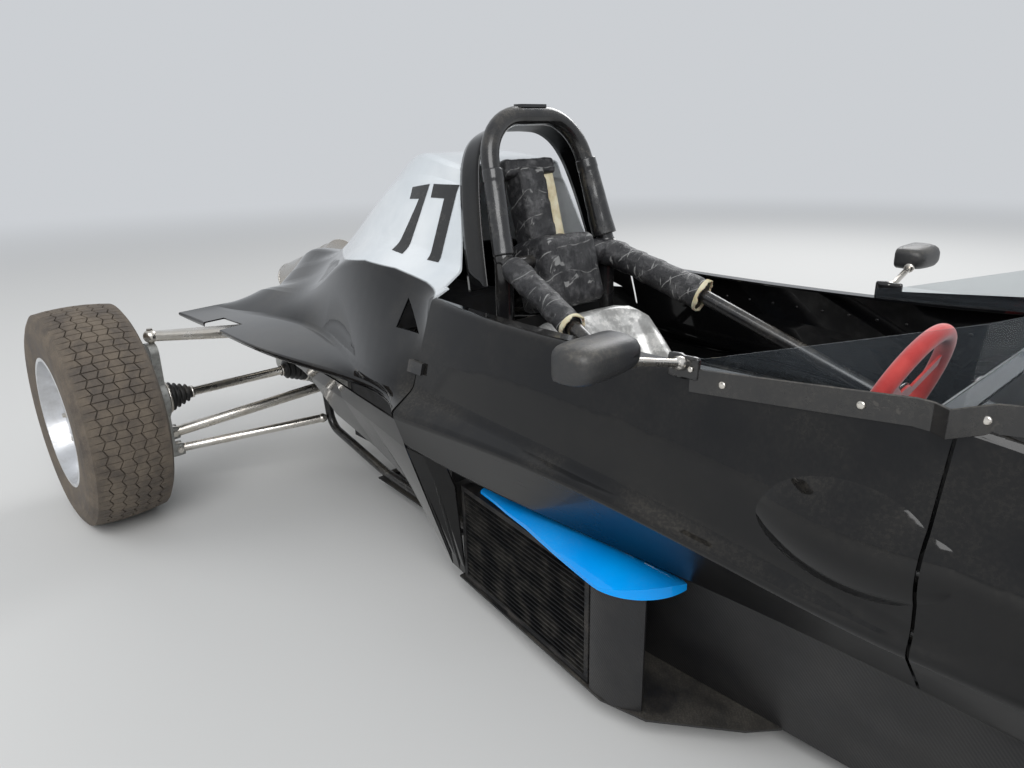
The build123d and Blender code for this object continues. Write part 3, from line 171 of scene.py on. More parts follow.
class Finish(Web):
    """A material under construction: its nodes, its shader and the places it is measured by."""

    def __init__(self, name, **constants):
        self.material = bpy.data.materials.new(name)
        self.material.use_nodes = True
        super().__init__(self.material.node_tree)
        self.shader = self.tree.nodes["Principled BSDF"]
        self.set(**constants)

    def set(self, **values):
        """Sets or links the shader's sockets, and returns the material."""
        for name, value in values.items():
            self.feed(self.shader.inputs[name.replace("_", " ").title().replace("Ior", "IOR")], value)
        return self.material

    def show_mix(self, share, first, second):
        """Shows a mix of two shaders, and returns the material."""
        mixed = self.node("ShaderNodeMixShader", None, {0: share, 1: first, 2: second})
        self.feed(self.tree.nodes["Material Output"].inputs["Surface"], mixed)
        return self.material

    def own_shader(self):
        return Value(self, self.shader.outputs[0])

    def place(self):
        """Where a point lies on the car, in metres."""
        return self.node("ShaderNodeTexCoord", out="Object")

    def axis(self, letter, of=None):
        return self.node("ShaderNodeSeparateXYZ", None, {0: of or self.place()}, out="XYZ".index(letter))

    def facing_up(self):
        return self.axis("Z", self.node("ShaderNodeNewGeometry", out="Normal"))

    def stretched(self, stretch, turn=(0, 0, 0)):
        sockets = {"Vector": self.place(), "Scale": stretch, "Rotation": turn}
        return self.node("ShaderNodeMapping", None, sockets)

    def noise(self, scale, detail=4.0, roughness=0.55, where=None):
        sockets = {"Vector": where or self.place(), "Scale": scale, "Detail": detail, "Roughness": roughness}
        return self.node("ShaderNodeTexNoise", None, sockets)

    def patches(self, low, high, *grain):
        """Noise cut into patches: nothing below low, all of it above high."""
        return self.span(self.noise(*grain), low, high)

    def waves(self, direction, scale, distortion=0.0):
        sockets = {"Vector": self.place(), "Scale": scale, "Distortion": distortion}
        return self.node("ShaderNodeTexWave", {"bands_direction": direction}, sockets)

    def blend(self, share, first, second):
        """A colour between two colours."""
        first, second = [(*c, 1) if isinstance(c, tuple) else c for c in (first, second)]
        return self.node("ShaderNodeMix", {"data_type": "RGBA"}, {0: share, 6: first, 7: second}, out=2)

    def bump(self, height, distance, strength=1.0):
        sockets = {"Height": height, "Distance": distance, "Strength": strength}
        return self.node("ShaderNodeBump", None, sockets)


FINISHES = {}


def wear(slot, material):
    """Keeps the finish that a paint slot wears."""
    FINISHES[slot] = material
    print(slot, "wears", material.name)


print("sums and nodes are ready")

# %% [markdown]
# ## A plain floor and soft light
# A black glossy body is only as good as what it mirrors, so the light comes from three wide soft
# panels and a pale sky. The floor is the only thing the car stands on, and it keeps the shadow. To
# the camera and in reflections the sky is brighter than it lights, and far out the floor turns into
# it, so that no dark horizon crosses the picture. The fill panel is kept out of reflections,
# because the flat flank would mirror its square.

# %% Floor, sky and soft panels
FLOOR_HALF = 60.0
FLOOR_COLOUR = (0.62, 0.62, 0.61, 1)
FLOOR_FADE = (4.0, 11.0)
SKY_COLOUR = (0.86, 0.89, 0.93, 1)
SKY_STRENGTH = 0.56
SKY_SEEN = 0.70
PANEL_AIM = Vector((0, 0, 0.4))
SOFT_PANELS = (
    # name, place, size, power in watts, whether gloss mirrors it
    ("key_panel", (3.6, -3.2, 4.6), 4.6, 290, True),
    ("fill_panel", (-4.6, -5.0, 3.8), 5.0, 130, False),
    ("back_panel", (-1.8, 5.2, 4.4), 3.4, 190, True),
)

sky = bpy.data.worlds.new("sky")
bpy.context.scene.world = sky
sky.use_nodes = True
sky_web = Web(sky.node_tree)
background = sky.node_tree.nodes["Background"]
sky_web.feed(background.inputs["Color"], SKY_COLOUR)
sky_power = sky_web.span(sky_web.looked_at(), 0, 1, SKY_STRENGTH, SKY_SEEN)
sky_web.feed(background.inputs["Strength"], sky_power)

ground = Finish("pale_floor", base_color=FLOOR_COLOUR, roughness=0.9, specular_ior_level=0.1)
distance = ground.node("ShaderNodeVectorMath", {"operation": "LENGTH"}, {0: ground.place()}, out=1)
far_away = ground.span(distance, *FLOOR_FADE) * ground.looked_at()
haze = ground.node("ShaderNodeEmission", None, {0: SKY_COLOUR, 1: SKY_SEEN})
floor_mesh = bpy.data.meshes.new("floor")
floor_corners = [(x * FLOOR_HALF, y * FLOOR_HALF, 0) for x, y in ((-1, -1), (1, -1), (1, 1), (-1, 1))]
floor_mesh.from_pydata(floor_corners, [], [(0, 1, 2, 3)])
floor_mesh.materials.append(ground.show_mix(far_away, ground.own_shader(), haze))
floor = bpy.data.objects.new("floor", floor_mesh)
bpy.context.collection.objects.link(floor)

for name, place, size, power, mirrored in SOFT_PANELS:
    lamp = bpy.data.lights.new(name, "AREA")
    lamp.shape, lamp.size, lamp.energy = "SQUARE", size, power
    panel = bpy.data.objects.new(name, lamp)
    panel.location = place
    panel.rotation_euler = (PANEL_AIM - Vector(place)).to_track_quat("-Z", "Y").to_euler()
    panel.visible_glossy = mirrored
    bpy.context.collection.objects.link(panel)
bpy.context.scene.view_settings.view_transform = "Standard"
print(len(SOFT_PANELS), "soft panels light the car")

# %% [markdown]
# ## Dust, the finish that every finish shares
# The car has stood outdoors. Dust settles on what faces the sky and stays in patches where nobody
# wiped. One helper gives that share, and each finish decides how brown and how thick it is.

# %% Dust and grime
DUST = (0.30, 0.27, 0.22)


def settled_dust(finish, most, patch=5.0, speckle=190.0):
    """How much dust lies at a point: more on what faces up, in patches, broken by fine specks."""
    patches = finish.span(finish.noise(patch, 5.0, 0.62), 0.38, 0.68)
    specks = finish.span(finish.noise(speckle, 2.0, 0.7), 0.42, 0.66)
    up = finish.span(finish.facing_up(), -0.2, 0.95, 0.14, 1.0)
    return patches * (specks * 0.55 + 0.45) * up * most


print("the dust is", DUST)

# %% [markdown]
# ## Black lacquer
# The body is glass fibre under deep black gloss. Seen close, it isn't black at all: it mirrors the
# sky, with wiping marks, tiny scratches and a faint waviness from the mould. So the colour is
# nearly nothing, and the work is in roughness, coat and a very shallow bump. What faces down is
# duller, because nobody polishes it.

# %% Body lacquer
LACQUER_BLACK = (0.0035, 0.0036, 0.0042)


def lacquer(finish, colour, dust_most=0.10, wave=0.0012):
    """Gives a finish a gloss coat over a colour, with wiping marks, fine scratches and waves."""
    dust = settled_dust(finish, dust_most)
    wiped = finish.noise(3.1, 3.0, 0.6, finish.stretched((1.0, 1.6, 2.4)))
    streaks = finish.noise(46.0, 6.0, 0.75, finish.stretched((0.35, 1, 6.0)))
    scratches = finish.span(streaks, 0.60, 0.68)
    under = finish.span(finish.facing_up(), -0.72, -0.22, 1.0, 0.0)
    dull = dust * 0.55 + scratches * 0.05 + under * 0.30
    return finish.set(
        base_color=finish.blend(dust, colour, DUST),
        roughness=finish.span(wiped, 0.3, 0.72, 0.035, 0.10) + dull,
        coat_weight=(0.5 - dust * 0.4) * (1 - under), coat_roughness=0.03, coat_ior=1.4,
        specular_ior_level=0.2, normal=finish.bump(finish.noise(7.0, 1.0, 0.4), wave, 0.5),
    )


wear("gloss_black", lacquer(Finish("body_lacquer"), LACQUER_BLACK))

# %% [markdown]
# ## Two paints on one cover
# The engine cover is one moulding: its hump is pale silver-white, and the shoulders, tail and
# shelf below are black. The line between them rises towards the tail. Instead of cutting the
# moulding, the paint asks how high a point is above a line drawn along the car.

# %% Engine cover paint
SILVER_WHITE = (0.60, 0.64, 0.67)
PAINT_LINE = (
    # X along the car and height of the line where the pale paint ends
    (-1.20, 0.72), (-1.05, 0.662), (-0.88, 0.660), (-0.762, 0.668), (-0.622, 0.684), (-0.496, 0.681),
    (-0.375, 0.666), (-0.285, 0.650),
)
PAINT_EDGE = 0.002


def cover_paint():
    finish = Finish("cover_paint")
    above = finish.axis("Z")
    for (x0, z0), (x1, z1) in zip(PAINT_LINE, PAINT_LINE[1:]):
        run = {0: finish.axis("X"), 1: x0, 2: x1, 3: 0.0, 4: z1 - z0}
        above = above - finish.node("ShaderNodeMapRange", {"interpolation_type": "LINEAR"}, run)
    pale = finish.span(above, PAINT_LINE[0][1] - PAINT_EDGE, PAINT_LINE[0][1] + PAINT_EDGE)
    cloud = finish.patches(0.3, 0.7, 6.0, 4.0)
    silver = finish.blend(cloud, SILVER_WHITE, (0.72, 0.75, 0.77))
    return lacquer(finish, finish.blend(pale, LACQUER_BLACK, silver), 0.12)


wear("cover_paint", cover_paint())

# %% [markdown]
# ## Blue pod tops
# The pod tops are the car's only loud colour: a clean sky blue under gloss.

# %% Blue gloss
POD_BLUE = (0.0, 0.30, 0.86)


def pod_blue():
    finish = Finish("pod_blue")
    shade = finish.patches(0.35, 0.7, 9.0, 3.0)
    return lacquer(finish, finish.blend(shade, POD_BLUE, (0.0, 0.34, 0.92)), 0.07, 0.0008)


wear("accent_blue", pod_blue())

# %% [markdown]
# ## Matt black sheet and moulding
# The floor, the pod floors, the dash and the cockpit lining are unpainted black moulding. It is
# matt, it shows the cloth it was laid up in, and it is the dustiest thing on the car.

# %% Black moulding
def black_moulding():
    finish = Finish("black_moulding")
    dust = settled_dust(finish, 0.24, 7.0, 420.0)
    weave = finish.waves("DIAGONAL", 90.0, 0.4)
    grit = finish.noise(320.0, 3.0, 0.7)
    return finish.set(
        base_color=finish.blend(dust, (0.011, 0.011, 0.012), DUST),
        roughness=finish.span(finish.noise(12.0), 0.3, 0.7, 0.36, 0.52) + dust * 0.35,
        normal=finish.bump(weave * 0.6 + grit * 0.6, 0.0008, 0.4),
    )


wear("black_composite", black_moulding())

# %% [markdown]
# ## Painted tube
# Frame and roll hoop wear black enamel: smoother than the mouldings, chipped where belts and
# gloves rub, and grey with dust along the top of each tube.

# %% Frame enamel
def frame_enamel():
    finish = Finish("frame_enamel")
    dust = settled_dust(finish, 0.32, 11.0)
    rubbed = finish.patches(0.63, 0.7, 28.0, 5.0, 0.7)
    black = finish.blend(rubbed, (0.009, 0.009, 0.010), (0.07, 0.065, 0.06))
    return finish.set(
        base_color=finish.blend(dust, black, DUST), metallic=rubbed * 0.5,
        roughness=finish.span(finish.noise(16.0), 0.3, 0.7, 0.16, 0.30) + dust * 0.5 + rubbed * 0.2,
        coat_weight=0.4 - dust * 0.4, coat_roughness=0.12,
        normal=finish.bump(finish.noise(55.0, 2.0), 0.0006, 0.35),
    )


wear("frame_black", frame_enamel())

# %% [markdown]
# ## Worn plating
# The suspension arms are nickel plated steel. Old plating is warm grey, cloudy, and freckled with
# rust where stones hit it, with grease caught near the joints.

# %% Nickel plating
NICKEL = (0.62, 0.58, 0.52)
RUST = (0.16, 0.07, 0.03)


def nickel_plating():
    finish = Finish("nickel_plating")
    cloud = finish.patches(0.3, 0.72, 18.0, 5.0, 0.65)
    freckles = finish.patches(0.64, 0.72, 150.0, 3.0, 0.6)
    stain = finish.patches(0.58, 0.74, 8.0, 5.0, 0.7)
    rust = freckles * 0.6 + stain * 0.35
    grinding = finish.noise(240.0, 2.0, 0.5, finish.stretched((1, 0.05, 1)))
    bright = finish.blend(cloud, NICKEL, (0.78, 0.75, 0.70))
    return finish.set(
        base_color=finish.blend(rust, bright, RUST), metallic=1 - rust * 0.7,
        roughness=finish.span(cloud, 0, 1, 0.34, 0.2) + rust * 0.4,
        normal=finish.bump(grinding + freckles * 0.6, 0.0005, 0.35),
    )


wear("nickel", nickel_plating())

# %% [markdown]
# ## Cast and block metals
# Uprights, gearbox and rack housing are cast light alloy, grainy and dull, with oil in the low
# places. The engine is cast iron. They share a recipe and differ in colour and grain.

# %% Castings
def casting(name, colour, metal, grain):
    finish = Finish(name)
    grime = finish.patches(0.45, 0.72, 14.0, 6.0, 0.7)
    pitted = finish.noise(grain, 3.0, 0.75)
    return finish.set(
        base_color=finish.blend(grime * 0.75, colour, (0.035, 0.03, 0.025)),
        metallic=(1 - grime * 0.6) * metal,
        roughness=finish.span(pitted, 0.3, 0.7, 0.42, 0.6) + grime * 0.2,
        normal=finish.bump(pitted, 0.0012, 0.5),
    )


wear("cast", casting("cast_alloy", (0.42, 0.42, 0.40), 0.85, 420.0))
wear("iron", casting("cast_iron", (0.055, 0.055, 0.058), 0.4, 300.0))

# %% [markdown]
# ## The silencer
# Stainless steel that has been hot: brushed along its length, straw and grey in bands, sooty at
# the mouth.

# %% Hot stainless steel
def hot_stainless():
    finish = Finish("hot_stainless")
    heat = finish.patches(0.3, 0.7, 7.0, 3.0)
    soot = finish.patches(0.55, 0.75, 22.0, 5.0, 0.7)
    brushed = finish.noise(420.0, 2.0, 0.5, finish.stretched((0.04, 1, 1)))
    steel = finish.blend(heat, (0.58, 0.57, 0.55), (0.50, 0.46, 0.41))
    return finish.set(
        base_color=finish.blend(soot * 0.6, steel, (0.06, 0.05, 0.045)), metallic=1 - soot * 0.4,
        roughness=finish.span(brushed, 0.3, 0.7, 0.24, 0.38) + soot * 0.25,
        normal=finish.bump(brushed, 0.0004, 0.4),
    )


wear("stainless", hot_stainless())

# %% [markdown]
# ## Radiator frame
# The core's tubes and fins are built later, as real metal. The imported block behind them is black
# and furred with dust, and a bump of close lines carries the fins on where they end.

# %% Radiator black
def radiator_core():
    finish = Finish("radiator_core")
    dust = finish.patches(0.4, 0.75, 26.0, 5.0, 0.7)
    lines = finish.waves("X", 160.0, 0.6) * 0.6 + finish.waves("Z", 38.0) * 0.8
    return finish.set(
        base_color=finish.blend(dust * 0.35, (0.010, 0.010, 0.011), (0.16, 0.14, 0.12)),
        roughness=finish.span(dust, 0, 1, 0.5, 0.85), metallic=0.3, normal=finish.bump(lines, 0.0015, 0.7),
    )


wear("core_black", radiator_core())

# %% [markdown]
# ## Mirrors, screen, seat and suede
# Four small finishes for what the driver touches or looks through. The mirror pods are textured
# grey plastic, the screen is clear sheet scratched by years of wiping, the seat is glossy with
# silver-white marbling, and the steering wheel is red suede.

# %% Driver's finishes
def mirror_plastic():
    finish = Finish("mirror_plastic")
    dust = settled_dust(finish, 0.35, 14.0)
    grain = finish.noise(520.0, 2.0, 0.6)
    return finish.set(
        base_color=finish.blend(dust, (0.024, 0.025, 0.027), DUST),
        roughness=finish.span(grain, 0.3, 0.7, 0.34, 0.46) + dust * 0.3,
        normal=finish.bump(grain, 0.0006, 0.45),
    )


def clear_sheet():
    finish = Finish("clear_sheet", base_color=(0.14, 0.16, 0.18, 1), ior=1.45)
    streaks = finish.noise(70.0, 7.0, 0.8, finish.stretched((0.5, 1, 3.5)))
    scratches = finish.span(streaks, 0.58, 0.7)
    hazy = finish.patches(0.35, 0.75, 4.0, 4.0)
    finish.set(roughness=0.03 + hazy * 0.05 + scratches * 0.2)
    seen_through = finish.node("ShaderNodeBsdfTransparent", None, {0: (0.93, 0.95, 0.96, 1)})
    gloss = finish.node("ShaderNodeFresnel", None, {"IOR": 1.5})
    share = gloss * 0.85 + hazy * 0.05 + scratches * 0.10 + 0.03
    return finish.show_mix(share, seen_through, finish.own_shader())


def marbled_seat():
    finish = Finish("marbled_seat", coat_weight=0.6, coat_roughness=0.1)
    swirl = finish.noise(16.0, 8.0, 0.68)
    veins = finish.span(swirl, 0.44, 0.56)
    fleck = finish.patches(0.45, 0.62, 60.0, 4.0, 0.7)
    pale = finish.blend(fleck, (0.62, 0.62, 0.60), (0.86, 0.85, 0.82))
    return finish.set(
        base_color=finish.blend(veins, (0.34, 0.34, 0.33), pale),
        roughness=finish.span(swirl, 0.3, 0.7, 0.25, 0.4), metallic=veins * 0.35,
    )


def red_suede():
    finish = Finish("red_suede", sheen_weight=0.5, sheen_roughness=0.5)
    nap = finish.noise(480.0, 3.0, 0.7)
    worn = finish.patches(0.4, 0.7, 24.0, 4.0)
    return finish.set(
        base_color=finish.blend(worn, (0.55, 0.018, 0.012), (0.72, 0.045, 0.03)),
        roughness=0.85 - worn * 0.15, normal=finish.bump(nap, 0.0010, 0.5),
    )


wear("mirror_grey", mirror_plastic())
wear("clear", clear_sheet())
wear("seat", marbled_seat())
wear("red_suede", red_suede())

# %% [markdown]
# ## Wheels
# The rims are silver painted alloy with brake dust in the wells. The tyres have run on a dirty
# yard: brown and dry on the tread, blacker on the walls.

# %% Rim silver and tyre rubber
def rim_silver():
    finish = Finish("rim_silver")
    brake_dust = finish.patches(0.42, 0.72, 11.0, 5.0, 0.65)
    return finish.set(
        base_color=finish.blend(brake_dust * 0.4, (0.66, 0.67, 0.69), (0.17, 0.15, 0.13)),
        metallic=0.75 - brake_dust * 0.3, roughness=finish.span(brake_dust, 0, 1, 0.28, 0.5),
        coat_weight=0.3, coat_roughness=0.15, normal=finish.bump(finish.noise(200.0, 2.0), 0.0004, 0.3),
    )


def tyre_rubber():
    finish = Finish("tyre_rubber")
    dry = finish.patches(0.32, 0.66, 16.0, 6.0, 0.7)
    grit = finish.patches(0.5, 0.7, 340.0, 3.0, 0.7)
    return finish.set(
        base_color=finish.blend(dry * 0.6 + grit * 0.2, (0.068, 0.055, 0.045), (0.205, 0.168, 0.128)),
        roughness=finish.span(dry, 0, 1, 0.68, 0.92), normal=finish.bump(grit, 0.0007, 0.4),
    )


wear("rim", rim_silver())
wear("tyre", tyre_rubber())

# %% [markdown]
# ## Tape
# The pads and the headrest are foam bound in duct tape. Tape is a shiny grey-black skin with
# crossed wraps and many small wrinkles. The edge of each turn carries a thin pale line, a painted
# highlight of the tape's step, drawn where a sum that grows along the wrap passes a whole number.

# %% Duct tape
LAPS_PER_METRE = 21.0


def duct_tape():
    finish = Finish("duct_tape")
    creases = finish.noise(95.0, 7.0, 0.78)
    scuffed = finish.patches(0.48, 0.66, 34.0, 6.0, 0.75)
    torn = finish.noise(60.0, 3.0, 0.5, finish.stretched((3.0, 0.4, 0.4), (0.5, 0.3, 0.2)))
    turn = finish.axis("X") * 0.7 - finish.axis("Z") * 0.7 + finish.noise(9.0, 2.0) * 0.05
    lap = finish.span(turn.math("FRACT", turn * LAPS_PER_METRE), 0.030, 0.044, 1.0, 0.0)
    # a pale line painted along each tape edge: a painted highlight of the step
    lap_highlight = lap * finish.patches(0.40, 0.56, 40.0, 4.0)
    # edges holds the painted lap highlights and the real pale torn marks
    edges = lap.math("MAXIMUM", finish.span(torn, 0.63, 0.66), lap_highlight)
    shade = finish.blend(scuffed, (0.022, 0.022, 0.024), (0.095, 0.094, 0.096))
    return finish.set(
        base_color=finish.blend(edges * 0.6, shade, (0.42, 0.42, 0.41)),
        roughness=finish.span(creases, 0.3, 0.7, 0.24, 0.46),
        normal=finish.bump(creases + edges * 0.4, 0.0042, 0.8),
    )


wear("tape", duct_tape())

# %% [markdown]
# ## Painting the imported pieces
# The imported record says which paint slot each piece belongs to. Reading that list means that no
# piece is forgotten: a piece with no finish would stop the script here.

# %% Give every piece its finish
for subpart in frame["record"]["subparts"]:
    mesh = frame["nodes"][subpart["node"]].data
    mesh.materials.clear()
    mesh.materials.append(FINISHES[subpart["material_slot"]])

# %% [markdown]
# ## Making pieces from meshes
# Everything added from here on is built from points and faces worked out in code. One helper turns
# them into an object that rides on a body of the car, wears a finish and is smooth to the eye. A
# second one finds the car's own surface under a point, so that paint, strips and rivets lie on it.

# %% Piece maker
WELD_REACH = 0.00005


def piece(name, points, faces, slot, finish=None, body="chassis", smooth=True):
    """A new mesh piece in its place on the car. It wears its slot's finish unless it has its own."""
    mesh = bpy.data.meshes.new(name)
    mesh.from_pydata([tuple(point) for point in points], [], faces)
    mesh.validate()
    mesh.shade_smooth() if smooth else mesh.shade_flat()
    mesh.materials.append(finish or FINISHES[slot])
    made = bpy.data.objects.new(name, mesh)
    bpy.context.collection.objects.link(made)
    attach(made, body)
    return made


def turns(count):
    """Angles that share out one full turn."""
    return [2 * math.pi * step / count for step in range(count)]


def closed_skin(rows, sides):
    """Faces over rows of points that each go round: the walls between the rows, then both ends."""
    faces = []
    for row in range(rows - 1):
        for step in range(sides):
            a, b = row * sides + step, row * sides + (step + 1) % sides
            faces.append((a, b, b + sides, a + sides))
    last = (rows - 1) * sides
    return faces + [tuple(reversed(range(sides))), tuple(last + step for step in range(sides))]


class Cluster:
    """Points and faces of many small parts that will be one piece."""

    def __init__(self):
        self.points, self.faces = [], []

    def add(self, points, faces):
        start = len(self.points)
        self.points += [Vector(point) for point in points]
        self.faces += [tuple(start + corner for corner in face) for face in faces]

    def turned(self, centre, direction, outline, sides=16):
        """A round part: an outline of (along, radius) pairs turned about a line through a point."""
        direction = Vector(direction).normalized()
        across = direction.orthogonal().normalized()
        other = direction.cross(across)
        points = []
        for along, radius in outline:
            for angle in turns(sides):
                rim = across * math.cos(angle) + other * math.sin(angle)
                points.append(Vector(centre) + direction * along + rim * radius)
        self.add(points, closed_skin(len(outline), sides))

    def take(self, edited):
        """Adds what an edit mesh holds, and frees it."""
        edited.verts.index_update()
        faces = [tuple(vertex.index for vertex in face.verts) for face in edited.faces]
        self.add([vertex.co for vertex in edited.verts], faces)
        edited.free()

    def welded(self):
        """A copy whose points that lie on each other are joined, so that its skin is closed."""
        mesh = bpy.data.meshes.new("loose")
        mesh.from_pydata([tuple(point) for point in self.points], [], self.faces)
        loose, joined = bmesh.new(), Cluster()
        loose.from_mesh(mesh)
        bmesh.ops.remove_doubles(loose, verts=loose.verts, dist=WELD_REACH)
        bmesh.ops.recalc_face_normals(loose, faces=loose.faces)
        joined.take(loose)
        return joined

    def piece(self, name, slot, **how):
        return piece(name, self.points, self.faces, slot, **how)


print("pieces can be made")

# %% Surface finder
PROBE_Y = 0.6


def surface_of(*nodes):
    """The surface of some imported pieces, ready to be hit by lines."""
    found = Cluster()
    for node in nodes:
        mesh = frame["nodes"][node].data
        found.add([vertex.co for vertex in mesh.vertices], [polygon.vertices for polygon in mesh.polygons])
    return BVHTree.FromPolygons(found.points, found.faces)


def touch(surface, start, direction):
    """Where a line from a point first meets a surface, and which way the surface faces there."""
    found, normal, face, distance = surface.ray_cast(Vector(start), Vector(direction).normalized())
    if found is not None and normal.dot(Vector(direction)) > 0:
        normal = -normal
    return found, normal


body_surface = surface_of("cockpit_body", "nose_cone", "engine_cover", "side_panels", "windscreen")
print("the body's surface is ready to build on")

# %% [markdown]
# ## Tyres with real tread
# These are racing tyres with a road pattern: zigzag grooves run round the tyre and short cuts join
# them, so the tread reads as small blocks. A bump can't give that edge against the ground, so each
# tyre is a new mesh. Its columns of faces are bent into zigzags first, and then whole columns are
# sunk to make the grooves, which keeps every groove crisp with few faces.

# %% Tread grid
GROOVES = 5
GROOVE_WIDTH = 0.0034
GROOVE_DEPTH = 0.0050
CUT_DEPTH = 0.0026
CUT_WIDTH = 0.0016
ZIGZAG = 0.0048
ZIGZAG_EASE = 0.28
BLOCK_LENGTH = 0.0190
SHOULDER = 0.014
SHOULDER_DROP = 0.007
TREAD_INSIDE = 0.0006
BEAD_RADIUS = 0.165
BEAD_LIFT = 0.004
WALL_LIFT = 0.008
WALL_TUCK = 0.011
WALL_TUCK_SHARE = 0.55
WALL_SHARES = (0.12, 0.26, 0.42, 0.58, 0.74, 0.90, 1.0)


def tread_columns(tread_half):
    """Across the tread: where each column stands, if it is sunk, and which way it zigzags."""
    columns = [(-tread_half, 0, 0)]
    gap = 2 * tread_half / (GROOVES + 1)
    groove_profile = (
        (-gap * ZIGZAG_EASE, 0, 0.5), (-GROOVE_WIDTH / 2, 0, 1), (-GROOVE_WIDTH / 4, 1, 1),
        (GROOVE_WIDTH / 4, 1, 1), (GROOVE_WIDTH / 2, 0, 1), (gap * ZIGZAG_EASE, 0, 0.5),
    )
    for groove in range(GROOVES):
        middle = -tread_half + gap * (groove + 1)
        way = 1 if groove % 2 else -1
        columns += [(middle + offset, sunk, way * bend) for offset, sunk, bend in groove_profile]
    return columns + [(tread_half, 0, 0)]


def wall_rows(radius, tread_half, half_width):
    """Down the wall, from the shoulder to the bead: half width and height of each row."""
    top = radius - SHOULDER_DROP
    middle = (BEAD_RADIUS + radius) / 2 + WALL_LIFT
    rows = []
    for share in WALL_SHARES:
        height = top - share * (top - BEAD_RADIUS - BEAD_LIFT)
        if height > middle:
            bow = 1 - ((height - middle) / (top - middle)) ** 2
            rows.append((tread_half + SHOULDER * bow, height))
        else:
            tuck = ((middle - height) / (middle - BEAD_RADIUS)) ** 2 * WALL_TUCK_SHARE
            rows.append((half_width - tuck * WALL_TUCK, height))
    return rows


def tyre_piece(corner):
    low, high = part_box(f"{corner}_tyre")
    centre, radius, width = (low + high) / 2, (high.z - low.z) / 2, high.y - low.y
    blocks = 2 * round(math.pi * radius / BLOCK_LENGTH)
    tread_half = width / 2 - SHOULDER
    cut = CUT_WIDTH / BLOCK_LENGTH
    block_profile = ((0, 1), (cut, 0), (0.5, 0), (1 - cut, 0))
    stations = [(block + share, sunk) for block in range(blocks) for share, sunk in block_profile]
    columns, walls = tread_columns(tread_half), wall_rows(radius, tread_half, width / 2)
    points, faces = [], []
    for station, cut_here in stations:
        zig = abs((station % 2) - 1) - 0.5
        row = [(-half, height) for half, height in reversed(walls)]
        for across, sunk, way in columns:
            crown = radius - SHOULDER_DROP * (across / tread_half) ** 2
            is_cut = cut_here and not sunk and abs(across) < tread_half - 0.001
            height = crown - TREAD_INSIDE - sunk * GROOVE_DEPTH - (CUT_DEPTH if is_cut else 0)
            row.append((across + zig * ZIGZAG * 2 * way, height))
        angle = 2 * math.pi * station / blocks
        for across, height in row + walls:
            points.append(centre + Vector((height * math.cos(angle), across, height * math.sin(angle))))
    count = len(columns) + 2 * len(walls)
    for station in range(len(stations)):
        here, after = station * count, (station + 1) % len(stations) * count
        for column in range(count):
            beside = (column + 1) % count
            faces.append((here + column, here + beside, after + beside, after + column))
    made = piece(f"{corner}_tread_tyre", points, faces, "tyre", body=f"{corner}_wheel", smooth=False)
    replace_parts(made, f"{corner}_tyre")
    return made


print(GROOVES, "grooves across each tread")

# %% Build the four tyres
CORNERS = ("right_rear", "left_rear", "right_front", "left_front")
for corner in CORNERS:
    tyre = tyre_piece(corner)
    print(tyre.name, "has", len(tyre.data.polygons), "faces")

# %% [markdown]
# ## Wheel hardware
# Each rim carries a ring of nuts on studs and a centre cap. They are small turned parts, so one
# cluster per wheel holds them all.

# %% Nuts and caps
NUT_CIRCLE = 0.050
NUT_OUTLINE = (
    (0, 0.0105), (0.004, 0.0105), (0.004, 0.0090), (0.014, 0.0088), (0.015, 0.0060), (0.022, 0.0055),
    (0.022, 0.0040),
)
CAP_OUTLINE = ((0, 0.026), (0.010, 0.026), (0.016, 0.022), (0.018, 0.012), (0.0185, 0.004))
RIM_PROBE = 0.3

for corner in CORNERS:
    side = -1 if corner.startswith("right") else 1
    low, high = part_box(f"{corner}_rim")
    outside = (low + high) / 2 + ACROSS * side * RIM_PROBE
    rim_surface = surface_of(f"{corner}_rim")
    hardware = Cluster()
    for angle in turns(4):
        start = outside + Vector((math.cos(angle), 0, math.sin(angle))) * NUT_CIRCLE
        seat, normal = touch(rim_surface, start, ACROSS * -side)
        hardware.turned(seat, ACROSS * side, NUT_OUTLINE, 6)
    seat, normal = touch(rim_surface, outside, ACROSS * -side)
    hardware.turned(seat, ACROSS * side, CAP_OUTLINE, 28)
    hardware.piece(f"{corner}_wheel_nuts", "nickel", body=f"{corner}_wheel")
print("nuts on", len(CORNERS), "wheels")

# %% [markdown]
# ## The dark strip that holds the screen
# The clear screen is clamped to the body by a satin black strip, held by slotted screws. The strip
# follows the body round, so it is laid on by shooting lines at the body from outside, all the way
# from the right rim round the nose to the left rim.

# %% Strip route
STRIP_REAR_X = 0.330
STRIP_BEND_X = 0.645
STRIP_BEND_RADIUS = 0.29
STRIP_HALF = 0.33
STRIP_LOW_Z = 0.6215
STRIP_HIGH_Z = 0.6550
STRIP_SLOPE = 0.095
STRIP_THICK = 0.0022
STRIP_STANDOFF = 0.0012
STRIP_BEVEL = 0.001
STRIP_PROBE = 0.3
SIDE_STEPS = 16
BEND_STEPS = 32
SCREW_X = (0.379, 0.551, 0.670)
SCREW_OUTLINE = ((0, 0.0052), (0.0012, 0.0052), (0.0024, 0.0040), (0.0028, 0.0018))


def strip_route():
    """Points below the strip's middle line with the way out of the car at each."""
    run = STRIP_BEND_X - STRIP_REAR_X
    side_x = [STRIP_REAR_X + run * step / SIDE_STEPS for step in range(SIDE_STEPS + 1)]
    route = [(Vector((x, -STRIP_HALF, 0)), -ACROSS) for x in side_x]
    for step in range(1, BEND_STEPS):
        angle = -math.pi / 2 + math.pi * step / BEND_STEPS
        out = Vector((math.cos(angle), math.sin(angle), 0))
        route.append((FORWARD * STRIP_BEND_X + out * STRIP_BEND_RADIUS, out))
    return route + [(Vector((x, STRIP_HALF, 0)), ACROSS) for x in reversed(side_x)]


